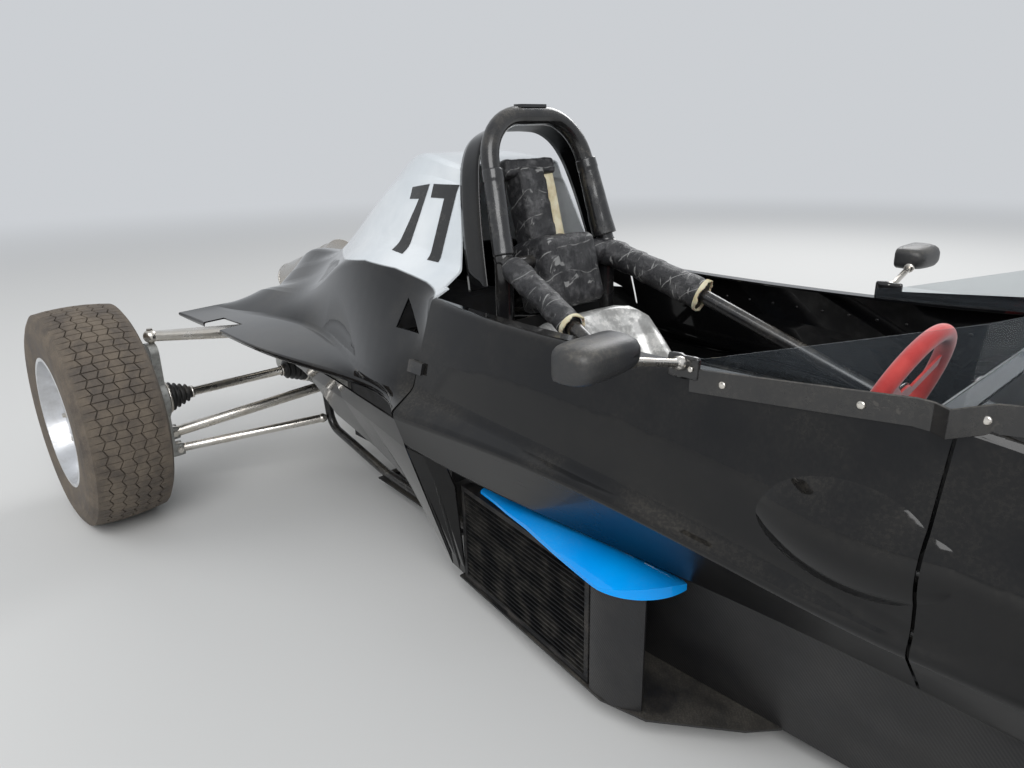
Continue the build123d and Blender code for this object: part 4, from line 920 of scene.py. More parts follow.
def strip_heights(x):
    rise = STRIP_SLOPE * (x - STRIP_REAR_X)
    return STRIP_LOW_Z + rise, STRIP_HIGH_Z + rise


def lay_strip():
    route, reaches = strip_route(), []
    for point, out in route:
        foot, top = strip_heights(point.x)
        hits = []
        for share in (0.15, 0.5, 0.85):
            start = point + out * STRIP_PROBE + UP * (foot + (top - foot) * share)
            found, normal = touch(body_surface, start, -out)
            hits.append((found - point).dot(out) if found else 0)
        reaches.append(max(hits))
    points = []
    for number, (point, out) in enumerate(route):
        foot, top = strip_heights(point.x)
        inner = point + out * (max(reaches[max(0, number - 1):number + 2]) + STRIP_STANDOFF)
        outer = inner + out * STRIP_THICK
        edge = ((inner, foot), (outer, foot + STRIP_BEVEL), (outer, top - STRIP_BEVEL), (inner, top))
        points += [base + UP * height for base, height in edge]
    return points, closed_skin(len(route), 4)


print("the strip's route has", len(strip_route()), "stations")

# %% Lay the strip and its screws
strip_points, strip_faces = lay_strip()
piece("screen_strip", strip_points, strip_faces, "frame_black", smooth=False)
strip_surface = BVHTree.FromPolygons(strip_points, strip_faces)
screws = Cluster()
for x in SCREW_X:
    for side in (-1, 1):
        seat, normal = touch(strip_surface, (x, side * PROBE_Y, sum(strip_heights(x)) / 2), ACROSS * -side)
        if seat:
            screws.turned(seat, ACROSS * side, SCREW_OUTLINE, 20)
screws.piece("screen_screws", "nickel")
print("the strip has", len(strip_faces), "faces")

# %% [markdown]
# ## Plain race numbers
# A plain black 17 stands on each side of the hump. Vinyl numbers are thin sheet that follows the
# panel, so each digit is cut out flat, divided finely and dropped sideways onto the cover.

# %% Digits and vinyl
DIGITS = {
    # corners of each digit on the right side, as X and height
    "one": (
        (-0.5384, 0.8440), (-0.4677, 0.8534), (-0.5063, 0.7065), (-0.5498, 0.7108), (-0.5000, 0.8216),
        (-0.5400, 0.8191),
    ),
    "seven": (
        (-0.4526, 0.8540), (-0.3685, 0.8546), (-0.3875, 0.6997), (-0.4235, 0.7015), (-0.4070, 0.8267),
        (-0.4550, 0.8264),
    ),
}
NUMBER_MIDDLE_X = -0.459
NUMBER_CUTS = ((FORWARD, -0.60, -0.30), (UP, 0.68, 0.88))
DIGIT_CELL = 0.006
VINYL = 0.0009


def vinyl_black():
    finish = Finish("vinyl_black", coat_weight=0.3, coat_roughness=0.1)
    worn = finish.patches(0.5, 0.75, 60.0, 5.0, 0.7)
    return finish.set(
        base_color=finish.blend(worn, (0.012, 0.012, 0.012), (0.030, 0.028, 0.026)),
        roughness=finish.span(worn, 0, 1, 0.22, 0.4),
    )


number_finish = vinyl_black()
print("digits to cut:", len(DIGITS))

# %% Lay the digits on the cover
cover_surface = surface_of("engine_cover")
for side, side_name in ((-1, "right"), (1, "left")):
    for digit, corners in DIGITS.items():
        sheet = bmesh.new()
        mirrored = [(x if side < 0 else 2 * NUMBER_MIDDLE_X - x, 0, z) for x, z in corners]
        sheet.faces.new([sheet.verts.new(corner) for corner in mirrored])
        for normal, low, high in NUMBER_CUTS:
            for step in range(int((high - low) / DIGIT_CELL)):
                geometry = sheet.verts[:] + sheet.edges[:] + sheet.faces[:]
                place = normal * (low + step * DIGIT_CELL)
                bmesh.ops.bisect_plane(sheet, geom=geometry, plane_co=place, plane_no=normal)
        for vertex in sheet.verts:
            start = (vertex.co.x, side * PROBE_Y, vertex.co.z)
            seat, normal = touch(cover_surface, start, ACROSS * -side)
            vertex.co = seat + normal * VINYL
        flat = Cluster()
        flat.take(sheet)
        flat.piece(f"{side_name}_number_{digit}", "black_composite", finish=number_finish)
print("numbers on both sides")

# %% [markdown]
# ## Foam, tape and torn ends
# The hoop is padded for the driver's helmet: slit foam tube, bound with tape in overlapping turns.
# A turn of tape leaves a small step, and the foam under it is never quite round. So each sleeve is
# a tube whose radius steps once a turn and swells here and there. Its open end shows cream foam.

# %% A tube along a route
HOOP_FOOT = Vector((-0.233, 0, 0.718))
HOOP_UP = Vector((-0.2676, 0, 0.9635))
HOOP_FORWARD = Vector((0.9635, 0, 0.2676))
TAPE_WIDTH = 0.048
TAPE_STEP = 0.0024
ROUTE_STEP = 0.004
SWELL_SCALE = (22, 0.9)
PAD_END = 0.006
PAD_END_SHARE = 0.93


def on_hoop(across, up, forward=0.0):
    """A place measured from the hoop's foot: across the car, up the hoop and forward of it."""
    return HOOP_FOOT + ACROSS * across + HOOP_UP * up + HOOP_FORWARD * forward


def rounded_route(corners, reach=0.05, steps=10):
    """Points along straight runs, with each inner corner drawn as a smooth bend."""
    points = [corners[0]]
    for before, corner, after in zip(corners, corners[1:], corners[2:]):
        start = corner + (before - corner).normalized() * reach
        end = corner + (after - corner).normalized() * reach
        for step in range(steps + 1):
            share = step / steps
            points.append(start.lerp(corner, share).lerp(corner.lerp(end, share), share))
    points.append(corners[-1])
    dense = []
    for start, end in zip(points, points[1:]):
        pieces = max(1, round((end - start).length / ROUTE_STEP))
        dense += [start.lerp(end, step / pieces) for step in range(pieces)]
    return dense + [points[-1]]


def tube(cluster, route, radius_at, sides=40):
    """Skin round a route. radius_at gives the radius from the length along and the angle round."""
    along, points = 0.0, []
    for number, centre in enumerate(route):
        ahead = (route[min(number + 1, len(route) - 1)] - route[max(number - 1, 0)]).normalized()
        along += (centre - route[number - 1]).length if number else 0
        across = (across - ahead * across.dot(ahead) if number else ahead.orthogonal()).normalized()
        other = ahead.cross(across)
        for angle in turns(sides):
            rim = across * math.cos(angle) + other * math.sin(angle)
            points.append(centre + rim * radius_at(along, angle))
    cluster.add(points, closed_skin(len(route), sides))


def taped(radius_from, radius_to, length, lumps, seed):
    """A sleeve's radius: foam that swells, with a step at each turn of tape and tucked ends."""
    down, round_it = SWELL_SCALE

    def radius_at(along, angle):
        turn = (along / TAPE_WIDTH + angle / (2 * math.pi)) % 1
        spot = Vector((along * down, math.cos(angle) * round_it + seed, math.sin(angle) * round_it))
        end = min(1, along / PAD_END, (length - along) / PAD_END + 0.001)
        body = radius_from + (radius_to - radius_from) * along / length
        tuck = PAD_END_SHARE + (1 - PAD_END_SHARE) * max(0, end)
        return (body + TAPE_STEP * turn + lumps * noise.noise(spot)) * tuck

    return radius_at


def run_length(route):
    return sum((after - before).length for before, after in zip(route, route[1:]))


def cream_foam():
    finish = Finish("cream_foam", subsurface_weight=0.1)
    aged = finish.patches(0.35, 0.7, 35.0, 4.0)
    return finish.set(
        base_color=finish.blend(aged, (0.74, 0.68, 0.50), (0.56, 0.47, 0.29)), roughness=0.9,
        normal=finish.bump(finish.noise(650.0, 2.0, 0.7), 0.0012, 0.6),
    )


def shiny_sleeve():
    """Smooth black plastic film shrunk on a tube."""
    finish = Finish("shiny_sleeve", coat_weight=0.5, coat_roughness=0.08)
    creases = finish.noise(38.0, 6.0, 0.7, finish.stretched((1, 1, 0.35)))
    scuffed = finish.patches(0.5, 0.72, 30.0, 5.0, 0.7)
    return finish.set(
        base_color=finish.blend(scuffed, (0.014, 0.014, 0.015), (0.06, 0.058, 0.055)),
        roughness=finish.span(creases, 0.3, 0.7, 0.16, 0.34), normal=finish.bump(creases, 0.0022, 0.5),
    )


foam_finish = cream_foam()
print("tape, film and foam are ready")

# %% [markdown]
# ## Pads and sleeves
# The brace on the right is padded near its foot. On the left the pad starts on the harness tube and
# bends onto the brace. Where a pad ends, its foam was cut by hand, so the edge wanders in and out.
# The hoop's legs wear a film that fits close, with a thicker cuff at its top.

# %% Brace, legs and frayed ends
BRACE_FOOT_Y = 0.155
BRACE_RUN = Vector((0.668, 0.120, -0.278))
HARNESS_Z = 0.702
LEG_LENGTH = 0.28
LEG_LEAN = 0.027
LEG_STEPS = 50
FRAY_SIDES = 72
FRAY_REACH = 0.005
FRAY_TORN = 0.006
FRAY_FINE = 0.002
CREASE = 0.0008
CUFF_LENGTH = 0.022
CUFF_THICK = 0.0012
LEG_SLEEVES = (
    # side, first and last share of the leg, radius at each
    (-1, 0.02, 0.62, 0.0215, 0.0208),
    (1, 0.06, 0.66, 0.0270, 0.0215),
)


def brace_point(side, share):
    run = BRACE_RUN * share
    return HOOP_FOOT + Vector((run.x, side * (BRACE_FOOT_Y + run.y), run.z))


def hoop_leg_point(side, share):
    return on_hoop(side * (BRACE_FOOT_Y - LEG_LEAN * share), LEG_LENGTH * share)


def frayed_end(cluster, route, radius):
    """A ring of torn foam round the end of a route."""
    direction = (route[-1] - route[-4]).normalized()
    across = direction.orthogonal().normalized()
    other = direction.cross(across)
    points = []
    for angle in turns(FRAY_SIDES):
        c, s = math.cos(angle), math.sin(angle)
        torn = FRAY_REACH + FRAY_TORN * noise.noise(Vector((c * 1.6, s * 1.6, radius * 90)))
        torn += FRAY_FINE * noise.noise(Vector((c * 7, s * 7, 2)))
        lip = ((-0.004, 0), (torn, 0.0012), (torn + 0.0008, -0.0016), (torn * 0.4, -0.0040))
        rim = across * c + other * s
        points += [route[-1] + direction * along + rim * (radius + wide) for along, wide in lip]
    faces = []
    for step in range(FRAY_SIDES):
        here, after = 4 * step, 4 * ((step + 1) % FRAY_SIDES)
        faces += [(here + k, after + k, after + k + 1, here + k + 1) for k in range(3)]
    cluster.add(points, faces)


print("each leg sleeve follows", LEG_STEPS, "short runs")

# %% Build the pads and sleeves
pads, ends, leg_sleeves = Cluster(), Cluster(), Cluster()
right_route = rounded_route([brace_point(-1, 0.045), brace_point(-1, 0.33)])
harness_run = [Vector((HOOP_FOOT.x, 0.078, HARNESS_Z)), Vector((HOOP_FOOT.x + 0.006, 0.150, HARNESS_Z))]
left_route = rounded_route(harness_run + [brace_point(1, 0.345)], 0.045)
for route, radius_from, radius_to, lumps, seed, end_radius in (
    (right_route, 0.0245, 0.0225, 0.0022, 3.0, 0.0250),
    (left_route, 0.0255, 0.0325, 0.0030, 9.0, 0.0350),
):
    tube(pads, route, taped(radius_from, radius_to, run_length(route), lumps, seed))
    frayed_end(ends, route, end_radius)
pads_piece = pads.piece("brace_pads", "tape")
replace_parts(pads_piece, "hoop_pads")
ends_piece = ends.piece("pad_foam_ends", "tape", finish=foam_finish)

for side, first, last, thick, thin in LEG_SLEEVES:
    route = [hoop_leg_point(side, first + (last - first) * step / LEG_STEPS) for step in range(LEG_STEPS + 1)]
    length = run_length(route)

    def film(along, angle, length=length, thick=thick, thin=thin):
        crease = noise.noise(Vector((along * 30, math.cos(angle) * 1.4, math.sin(angle) * 1.4)))
        cuff = CUFF_THICK if length - along < CUFF_LENGTH else 0
        return thick + (thin - thick) * along / length + crease * CREASE + cuff

    tube(leg_sleeves, route, film)
leg_sleeves.piece("hoop_leg_sleeves", "tape", finish=shiny_sleeve())
print("pads have", len(pads.faces) + len(ends.faces) + len(leg_sleeves.faces), "faces")

# %% [markdown]
# ## The taped headrest
# The headrest is sheet foam folded and bound in tape: a deep block low down, a tall column, a bar
# across the top, and one edge of bare cream foam. Each lump is a box with soft corners, whose sides
# belly out a little, and whose skin carries tape steps and wrinkles.

# %% Soft boxes
HEADREST = (
    # centre across, centre up, width, height, back face, front face, softness, finish
    (0.000, -0.046, 0.156, 0.146, -0.066, 0.040, 0.016, "tape"),
    (-0.008, 0.090, 0.070, 0.180, -0.078, -0.020, 0.010, "tape"),
    (0.046, 0.086, 0.040, 0.180, -0.092, -0.036, 0.006, "foam"),
    (0.000, 0.184, 0.140, 0.032, -0.096, -0.030, 0.007, "tape"),
)
CAR_AXES = (FORWARD, ACROSS, UP)
BELLY = 0.05
FINE_SHARE = 0.35
ROUGH_SCALE = 34
FINE_SCALE = 120


def soft_box(cluster, centre, axes, half, soft, tape_along=0, wrinkle=0.0, seed=0.0, cells=26):
    """A box with rounded corners, bellied sides and the skin of wrapped tape."""
    shares = [-1 + 2 * step / cells for step in range(cells + 1)]
    count = cells + 1
    for axis in range(3):
        u, v = (axis + 1) % 3, (axis + 2) % 3
        for way in (-1, 1):
            points = []
            for first in shares:
                for second in shares:
                    spot = [0, 0, 0]
                    spot[axis], spot[u], spot[v] = way, first, second
                    full = Vector([spot[i] * half[i] for i in range(3)])
                    core = Vector([max(-half[i] + soft, min(half[i] - soft, full[i])) for i in range(3)])
                    out = (full - core).normalized()
                    belly = BELLY * (1 - first ** 2) * (1 - second ** 2) * min(half)
                    place = core + out * (soft + belly)
                    turn = (place[tape_along] / TAPE_WIDTH + seed) % 1
                    rough = noise.noise(place * ROUGH_SCALE + FORWARD * seed) * wrinkle
                    fine = noise.noise(place * FINE_SCALE + ACROSS * seed) * wrinkle * FINE_SHARE
                    place += out * (TAPE_STEP * turn + rough + fine)
                    points.append(centre + axes[0] * place.x + axes[1] * place.y + axes[2] * place.z)
            faces = []
            for row in range(cells):
                for column in range(cells):
                    a = row * count + column
                    face = (a, a + count, a + count + 1, a + 1)
                    faces.append(face if way > 0 else face[::-1])
            cluster.add(points, faces)


print("soft boxes are ready")

# %% Build the headrest
headrest_lumps = {"tape": Cluster(), "foam": Cluster()}
for number, (across, up, width, height, back, front, soft, kind) in enumerate(HEADREST):
    centre = on_hoop(across, up, (back + front) / 2)
    half = (width / 2, height / 2, (front - back) / 2)
    wrinkle = 0.0018 if kind == "tape" else 0.0006
    hoop_axes = (ACROSS, HOOP_UP, HOOP_FORWARD)
    soft_box(headrest_lumps[kind], centre, hoop_axes, half, soft, number % 2, wrinkle, number * 3.7)
headrest_piece = headrest_lumps["tape"].welded().piece("taped_headrest", "tape")
foam_piece = headrest_lumps["foam"].welded().piece("headrest_foam_edge", "tape", finish=foam_finish)
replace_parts(headrest_piece, "headrest")
print("headrest lumps", len(HEADREST))

# %% [markdown]
# ## Rubber boots on the driveshafts
# A boot keeps the grease in the joint and bends as the shaft moves, so it is a bellows. It is an
# outline turned about the shaft, with one round fold after another, and a clip at each end.

# %% Boot outlines and rubber
BOOT_INNER_Y = 0.1283
BOOT_OUTER_Y = 0.5507
SHAFT_RUN = BOOT_OUTER_Y - BOOT_INNER_Y
AXLE = Vector((-1.205, 0, 0.2825))
FOLDS = 4
FOLD_PITCH = 0.014
FOLD_DROP = 0.005
FOLD_LIFT = 0.0085
FOLD_SHAPE = ((0.15, 0.45), (0.30, 0.9), (0.40, 1.0), (0.50, 0.9), (0.62, 0.45), (0.75, 0.08), (0.9, 0.0))
BOOTS = ((BOOT_INNER_Y, 1, 0.0466), (BOOT_OUTER_Y, -1, 0.0426))  # distance, way along, radius
FLANGE = ((0.0, 0.030), (0.0, 0.0440), (0.008, 0.0440), (0.009, 0.0300), (0.060, 0.0145), (0.062, 0.0125))
FAR_END = (
    (SHAFT_RUN - 0.062, 0.0125), (SHAFT_RUN - 0.060, 0.0145), (SHAFT_RUN - 0.010, 0.0300),
    (SHAFT_RUN - 0.008, 0.0400), (SHAFT_RUN, 0.0400),
)


def bellows(radius):
    """A boot's outline: a cuff, the folds, each lower than the one before, and a neck."""
    outline = [(0.0, radius), (0.010, radius), (0.012, radius - 0.003), (0.014, radius - 0.003)]
    for fold in range(FOLDS):
        foot, low = FOLD_PITCH * (fold + 1), radius - 0.011 - FOLD_DROP * fold
        outline += [(foot + FOLD_PITCH * share, low + FOLD_LIFT * lift) for share, lift in FOLD_SHAPE]
    end = FOLD_PITCH * (FOLDS + 1)
    return outline + [(end + 0.003, 0.0165), (end + 0.010, 0.0155)]


def clip_outline(grip):
    return ((0, grip), (0.0002, grip + 0.0012), (0.0066, grip + 0.0012), (0.0068, grip))


def boot_rubber():
    finish = Finish("boot_rubber")
    dust = settled_dust(finish, 0.5, 18.0)
    return finish.set(
        base_color=finish.blend(dust, (0.012, 0.012, 0.012), (0.11, 0.095, 0.075)),
        roughness=0.45 + dust * 0.4, normal=finish.bump(finish.noise(260.0, 3.0, 0.7), 0.0006, 0.4),
    )


print("a boot runs", FOLD_PITCH * (FOLDS + 1), "metres to its neck")

# %% Build boots, clips and bars
boots, clips, shafts = Cluster(), Cluster(), Cluster()
for side in (-1, 1):
    for distance, way, radius in BOOTS:
        foot, along_shaft = AXLE + ACROSS * side * distance, ACROSS * side * way
        boots.turned(foot, along_shaft, bellows(radius), 48)
        for along, grip in ((0.004, radius + 0.0004), (0.072, 0.0160)):
            clips.turned(foot + along_shaft * along, along_shaft, clip_outline(grip), 48)
    shafts.turned(AXLE + ACROSS * side * BOOT_INNER_Y, ACROSS * side, FLANGE + FAR_END, 40)
boots.piece("driveshaft_boots", "tape", finish=boot_rubber())
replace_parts(shafts.piece("driveshaft_bars", "nickel"), "driveshafts")
clips.piece("boot_clips", "nickel")
print("boots", len(boots.faces), "faces")

# %% [markdown]
# ## Fins in the radiators
# A radiator core is flat tubes with a folded strip of thin metal between each pair. Both are real
# geometry here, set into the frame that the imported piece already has, because a flat texture of
# lines turns grey when it is seen at a slant.

# %% Core sizes and finish
RADIATOR_ENDS = (Vector((-0.233, 0.288, 0)), Vector((0.169, 0.345, 0)))
RADIATOR_LOW_Z, RADIATOR_HIGH_Z = 0.0605, 0.2565
CORE_INSET = 0.0115
CORE_DEEP = 0.0046
FIN_FRONT = 0.0016
TUBE_PITCH = 0.0098
TUBE_TALL = 0.0022
TUBE_SECTION = ((0.0012, 0.2), (0.0006, 0.5), (0.0012, 0.8), (CORE_DEEP, 1.0), (CORE_DEEP, 0.0))
HALF_FOLD = 0.0015
FIN_BEND = 0.0007


def fin_black():
    finish = Finish("fin_black", metallic=0.2)
    dust = finish.patches(0.42, 0.72, 22.0, 5.0, 0.7)
    return finish.set(
        base_color=finish.blend(dust, (0.010, 0.010, 0.011), (0.052, 0.048, 0.042)),
        roughness=0.42 + dust * 0.35,
    )


fin_finish = fin_black()
print("fins fold every", 2 * HALF_FOLD, "metres")

# %% Build the cores
tubes, fins = Cluster(), Cluster()
rows = int((RADIATOR_HIGH_Z - RADIATOR_LOW_Z) / TUBE_PITCH)
for side in (-1, 1):
    rear, front = [Vector((end.x, side * end.y, 0)) for end in RADIATOR_ENDS]
    along = (front - rear).normalized()
    inward = Vector((along.y, -along.x, 0)) * side
    start, length = rear + along * CORE_INSET, (front - rear).length - 2 * CORE_INSET
    folds = int(length / HALF_FOLD)
    for row in range(rows + 1):
        z = RADIATOR_LOW_Z + row * TUBE_PITCH
        corners = []
        for end in (start, start + along * length):
            for deep, height in TUBE_SECTION:
                corners.append(end + inward * deep + UP * (z + TUBE_TALL * (height - 0.5)))
        tubes.add(corners, [(i, (i + 1) % 5, 5 + (i + 1) % 5, 5 + i) for i in range(5)])
        if row == rows:
            continue
        points = []
        for fold in range(folds + 1):
            bent = FIN_BEND * noise.noise(Vector((fold * 0.13, row * 1.7, side)))
            height = z + (TUBE_TALL / 2 if fold % 2 else TUBE_PITCH - TUBE_TALL / 2)
            place = start + along * (fold * HALF_FOLD + bent) + UP * height
            points += [place + inward * (FIN_FRONT + abs(bent)), place + inward * CORE_DEEP]
        fins.add(points, [(2 * fold, 2 * fold + 1, 2 * fold + 3, 2 * fold + 2) for fold in range(folds)])
tubes.piece("radiator_tubes", "core_black", finish=fin_finish, smooth=False)
fins.piece("radiator_fins", "core_black", finish=fin_finish, smooth=False)
print("fins", len(fins.faces), "faces")

# %% [markdown]
# ## Mirror pods
# Each mirror is a moulded pod: flat where the glass sits, and rounded on every other side. Sections
# are stacked along the car, each one a rounded oblong a little smaller than the one behind it.

# %% Pod sections, stems and glass
POD_CENTRE = Vector((0.310, 0.492, 0.6990))
POD_SECTIONS = (
    # X from the middle, half width, half height, corner power
    (-0.0270, 0.0560, 0.0215, 5.0), (-0.0250, 0.0575, 0.0232, 5.0), (-0.0120, 0.0580, 0.0240, 4.6),
    (0.0020, 0.0575, 0.0236, 4.2), (0.0130, 0.0550, 0.0220, 3.8), (0.0200, 0.0505, 0.0190, 3.4),
    (0.0245, 0.0430, 0.0140, 3.0), (0.0262, 0.0300, 0.0080, 2.6),
)
POD_SIDES = 64
POD_DROOP = 0.0035
POD_WIDEST = 0.058
GLASS_OBLONG = (0.0520, 0.0180, 4.6)
GLASS_GAP = 0.0006
STEM_FOOT = Vector((0.319, 0.336, 0.660))
STEM_TOP = Vector((0.312, 0.455, 0.688))
STEM_REACH = (STEM_TOP - STEM_FOOT).length
STEM_OUTLINE = (
    (-0.006, 0.0095), (0.012, 0.0095), (0.014, 0.0066), (0.020, 0.0056), (STEM_REACH, 0.0056),
    (STEM_REACH + 0.004, 0.0046),
)
COLLAR_SHARE = 0.82
COLLAR_OUTLINE = ((0, 0.0056), (0.002, 0.0092), (0.012, 0.0092), (0.014, 0.0056))
BRACKET_CENTRE = Vector((0.319, 0.3325, 0.6555))
BRACKET_HALF = (0.023, 0.004, 0.015)
BOLT_X = (0.304, 0.334)
BOLT_Y = 0.3375
BOLT_OUTLINE = ((0, 0.0042), (0.003, 0.0042), (0.0036, 0.0034), (0.0038, 0.0014))


def oblong(half_width, half_height, power):
    """Points round a rounded oblong, from its half sizes and how square its corners are."""
    ring = []
    for angle in turns(POD_SIDES):
        c, s = math.cos(angle), math.sin(angle)
        across = math.copysign(abs(c) ** (2 / power), c) * half_width
        ring.append((across, math.copysign(abs(s) ** (2 / power), s) * half_height))
    return ring


def sided(place, side):
    """A place given for the left side, on either side of the car."""
    return Vector((place[0], side * place[1], place[2]))


def mirror_glass():
    finish = Finish("mirror_glass", metallic=1.0)
    smear = finish.patches(0.5, 0.75, 40.0, 4.0)
    return finish.set(
        base_color=finish.blend(smear, (0.82, 0.84, 0.85), (0.70, 0.71, 0.70)), roughness=0.02 + smear * 0.08
    )


print("a stem is", round(STEM_REACH, 3), "metres long")

# %% Build the mirrors
pods, glass, stems, brackets, bolts = Cluster(), Cluster(), Cluster(), Cluster(), Cluster()
for side in (-1, 1):
    points = []
    for forward, *section in POD_SECTIONS:
        for across, up in oblong(*section):
            droop = POD_DROOP * (across / POD_WIDEST) if up < 0 else 0
            points.append(sided(POD_CENTRE + Vector((forward, across, up - droop)), side))
    pods.add(points, closed_skin(len(POD_SECTIONS), POD_SIDES))
    glass_x = POD_SECTIONS[0][0] - GLASS_GAP
    ring = [sided(POD_CENTRE + Vector((glass_x, across, up)), side) for across, up in oblong(*GLASS_OBLONG)]
    glass.add(ring, [tuple(range(POD_SIDES))])
    foot, top = sided(STEM_FOOT, side), sided(STEM_TOP, side)
    stems.turned(foot, top - foot, STEM_OUTLINE, 28)
    stems.turned(foot.lerp(top, COLLAR_SHARE), top - foot, COLLAR_OUTLINE, 28)
    soft_box(brackets, sided(BRACKET_CENTRE, side), CAR_AXES, BRACKET_HALF, 0.003, cells=10)
    for x in BOLT_X:
        bolts.turned(sided((x, BOLT_Y, BRACKET_CENTRE.z), side), ACROSS * side, BOLT_OUTLINE, 6)
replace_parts(pods.piece("mirror_pods", "mirror_grey"), "mirrors")
glass.piece("mirror_glasses", "nickel", finish=mirror_glass())
stems.piece("mirror_stems", "nickel")
brackets.welded().piece("mirror_brackets", "frame_black")
bolts.piece("mirror_bolts", "nickel")
print("mirrors on both sides")

# %% [markdown]
# ## A smooth fairing behind the hoop
# Behind the hoop stands a thin black band that keeps the air off the driver's helmet. The real one
# is bent round in one sweep, so its edge is a smooth curve through a few measured points. The
# packed band has straight runs, and this piece takes its place.

# %% Fairing curve
FAIRING_HALF_POINTS = (
    # half width and height up the hoop
    (0.196, -0.050), (0.189, 0.010), (0.179, 0.080), (0.165, 0.150), (0.148, 0.205), (0.122, 0.245),
    (0.086, 0.267), (0.044, 0.2725), (0.0, 0.273),
)
FAIRING_BACK = -0.0813
FAIRING_FRONT = -0.0193
FAIRING_SHEET = 0.003
FAIRING_EDGE = 0.0012
FAIRING_CELLS = 6


def smooth_through(points, pieces=8):
    """A curve through given points, with even bends."""
    points = [Vector((*point, 0)) for point in points]
    result = []
    for number in range(len(points) - 1):
        before, start = points[max(0, number - 1)], points[number]
        end, after = points[number + 1], points[min(len(points) - 1, number + 2)]
        for step in range(pieces):
            t = step / pieces
            result.append(0.5 * (
                2 * start + (end - before) * t + (2 * before - 5 * start + 4 * end - after) * t ** 2
                + (3 * start - before - 3 * end + after) * t ** 3
            ))
    return result + [points[-1]]


print("the fairing follows", len(FAIRING_HALF_POINTS), "points a side")

# %% Build the fairing
half = smooth_through(FAIRING_HALF_POINTS)
band = [(point.x, point.y) for point in half] + [(-point.x, point.y) for point in reversed(half[:-1])]
span = FAIRING_FRONT - FAIRING_BACK
depths = [FAIRING_BACK + span * step / FAIRING_CELLS for step in range(FAIRING_CELLS + 1)]
points = []
for number, (across, up) in enumerate(band):
    before, after = band[max(0, number - 1)], band[min(len(band) - 1, number + 1)]
    out = Vector((after[1] - before[1], before[0] - after[0])).normalized()
    for depth in depths:
        place = Vector((across, up)) - out * (FAIRING_EDGE if depth in (depths[0], depths[-1]) else 0)
        points.append(on_hoop(place.x, place.y, depth))
    for depth in reversed(depths):
        place = Vector((across, up)) - out * FAIRING_SHEET
        points.append(on_hoop(place.x, place.y, depth))
fairing = Cluster()
fairing.add(points, closed_skin(len(band), 2 * len(depths)))
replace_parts(fairing.welded().piece("hoop_fairing_band", "gloss_black"), "hoop_fairing")
print("the fairing band has", len(fairing.faces), "faces")

# %% [markdown]
# ## Closing panel ahead of the rear side panel
# The black side panel runs on to the radiator's rear edge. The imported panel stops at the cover's
# joint, and a short skin carries it the last hand's width forward.

# %% Closing panels
CLOSING_SECTIONS = (
    # X, then foot, knee and top, each a half width and a height
    (-0.2815, (0.284, 0.060), (0.3605, 0.297), (0.3855, 0.368)),
    (-0.2550, (0.285, 0.056), (0.3400, 0.290), (0.3640, 0.352)),
    (-0.2340, (0.2865, 0.052), (0.3040, 0.268), (0.3300, 0.338)),
)
CLOSING_SHEET = 0.003

closing = Cluster()
for side in (-1, 1):
    points = []
    for x, *outer in CLOSING_SECTIONS:
        inner = [(half_width - CLOSING_SHEET, z) for half_width, z in reversed(outer)]
        points += [sided((x, half_width, z), side) for half_width, z in outer + inner]
    closing.add(points, closed_skin(len(CLOSING_SECTIONS), 6))
closing.welded().piece("closing_panels", "gloss_black", smooth=False)
print("closing panels on both sides")

# %% [markdown]
# ## Rod ends and their bolts
# Every arm ends in a spherical joint held by a bolt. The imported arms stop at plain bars, so the
# joint's eye and the bolt through it are added, with a bracket that reaches the upright.

# %% Rod ends at the rear uprights
LOWER_ARM_ENDS = (Vector((-1.211, 0.540, 0.176)), Vector((-1.191, 0.540, 0.133)))
ROCKER_END = Vector((-1.205, 0.556, 0.459))
EYE_OUTLINE = (
    (-0.009, 0.0085), (-0.009, 0.0160), (-0.007, 0.0175), (0.007, 0.0175), (0.009, 0.0160), (0.009, 0.0085)
)
PIN_OUTLINE = (
    (-0.021, 0.0045), (-0.021, 0.0080), (-0.0145, 0.0080), (-0.0145, 0.0060), (0.0145, 0.0060),
    (0.0145, 0.0085), (0.021, 0.0085), (0.021, 0.0045),
)
LUG_OFFSET = Vector((0.0125, 0.006, 0))
LUG_HALF = (0.0022, 0.018, 0.015)

rod_ends, lugs = Cluster(), Cluster()
for side in (-1, 1):
    for end in LOWER_ARM_ENDS:
        rod_ends.turned(sided(end, side), FORWARD, EYE_OUTLINE, 32)
        rod_ends.turned(sided(end, side), FORWARD, PIN_OUTLINE, 6)
        for way in (-1, 1):
            place = end + Vector((way * LUG_OFFSET.x, LUG_OFFSET.y, 0))
            soft_box(lugs, sided(place, side), CAR_AXES, LUG_HALF, 0.002, cells=8)
    rod_ends.turned(sided(ROCKER_END, side), UP, PIN_OUTLINE, 6)
rod_ends.welded().piece("rear_rod_ends", "nickel", smooth=False)
lugs.welded().piece("rear_arm_brackets", "cast")
print("rod ends", len(rod_ends.faces), "faces")

# %% [markdown]
# ## Rivets and the cockpit's edge
# The cockpit side is double skinned, and pop rivets hold the inner skin to the outer. They run in a
# row below the rim on the inside. Each is a low dome, found by shooting a line at the wall.

# %% Rivet rows
RIVET_OUTLINE = ((0.0, 0.0034), (0.0008, 0.0032), (0.0015, 0.0024), (0.0018, 0.0011))
RIVET_FIRST = Vector((-0.19, 0.12, 0.595))
RIVET_PITCH = 0.055
RIVETS = 14

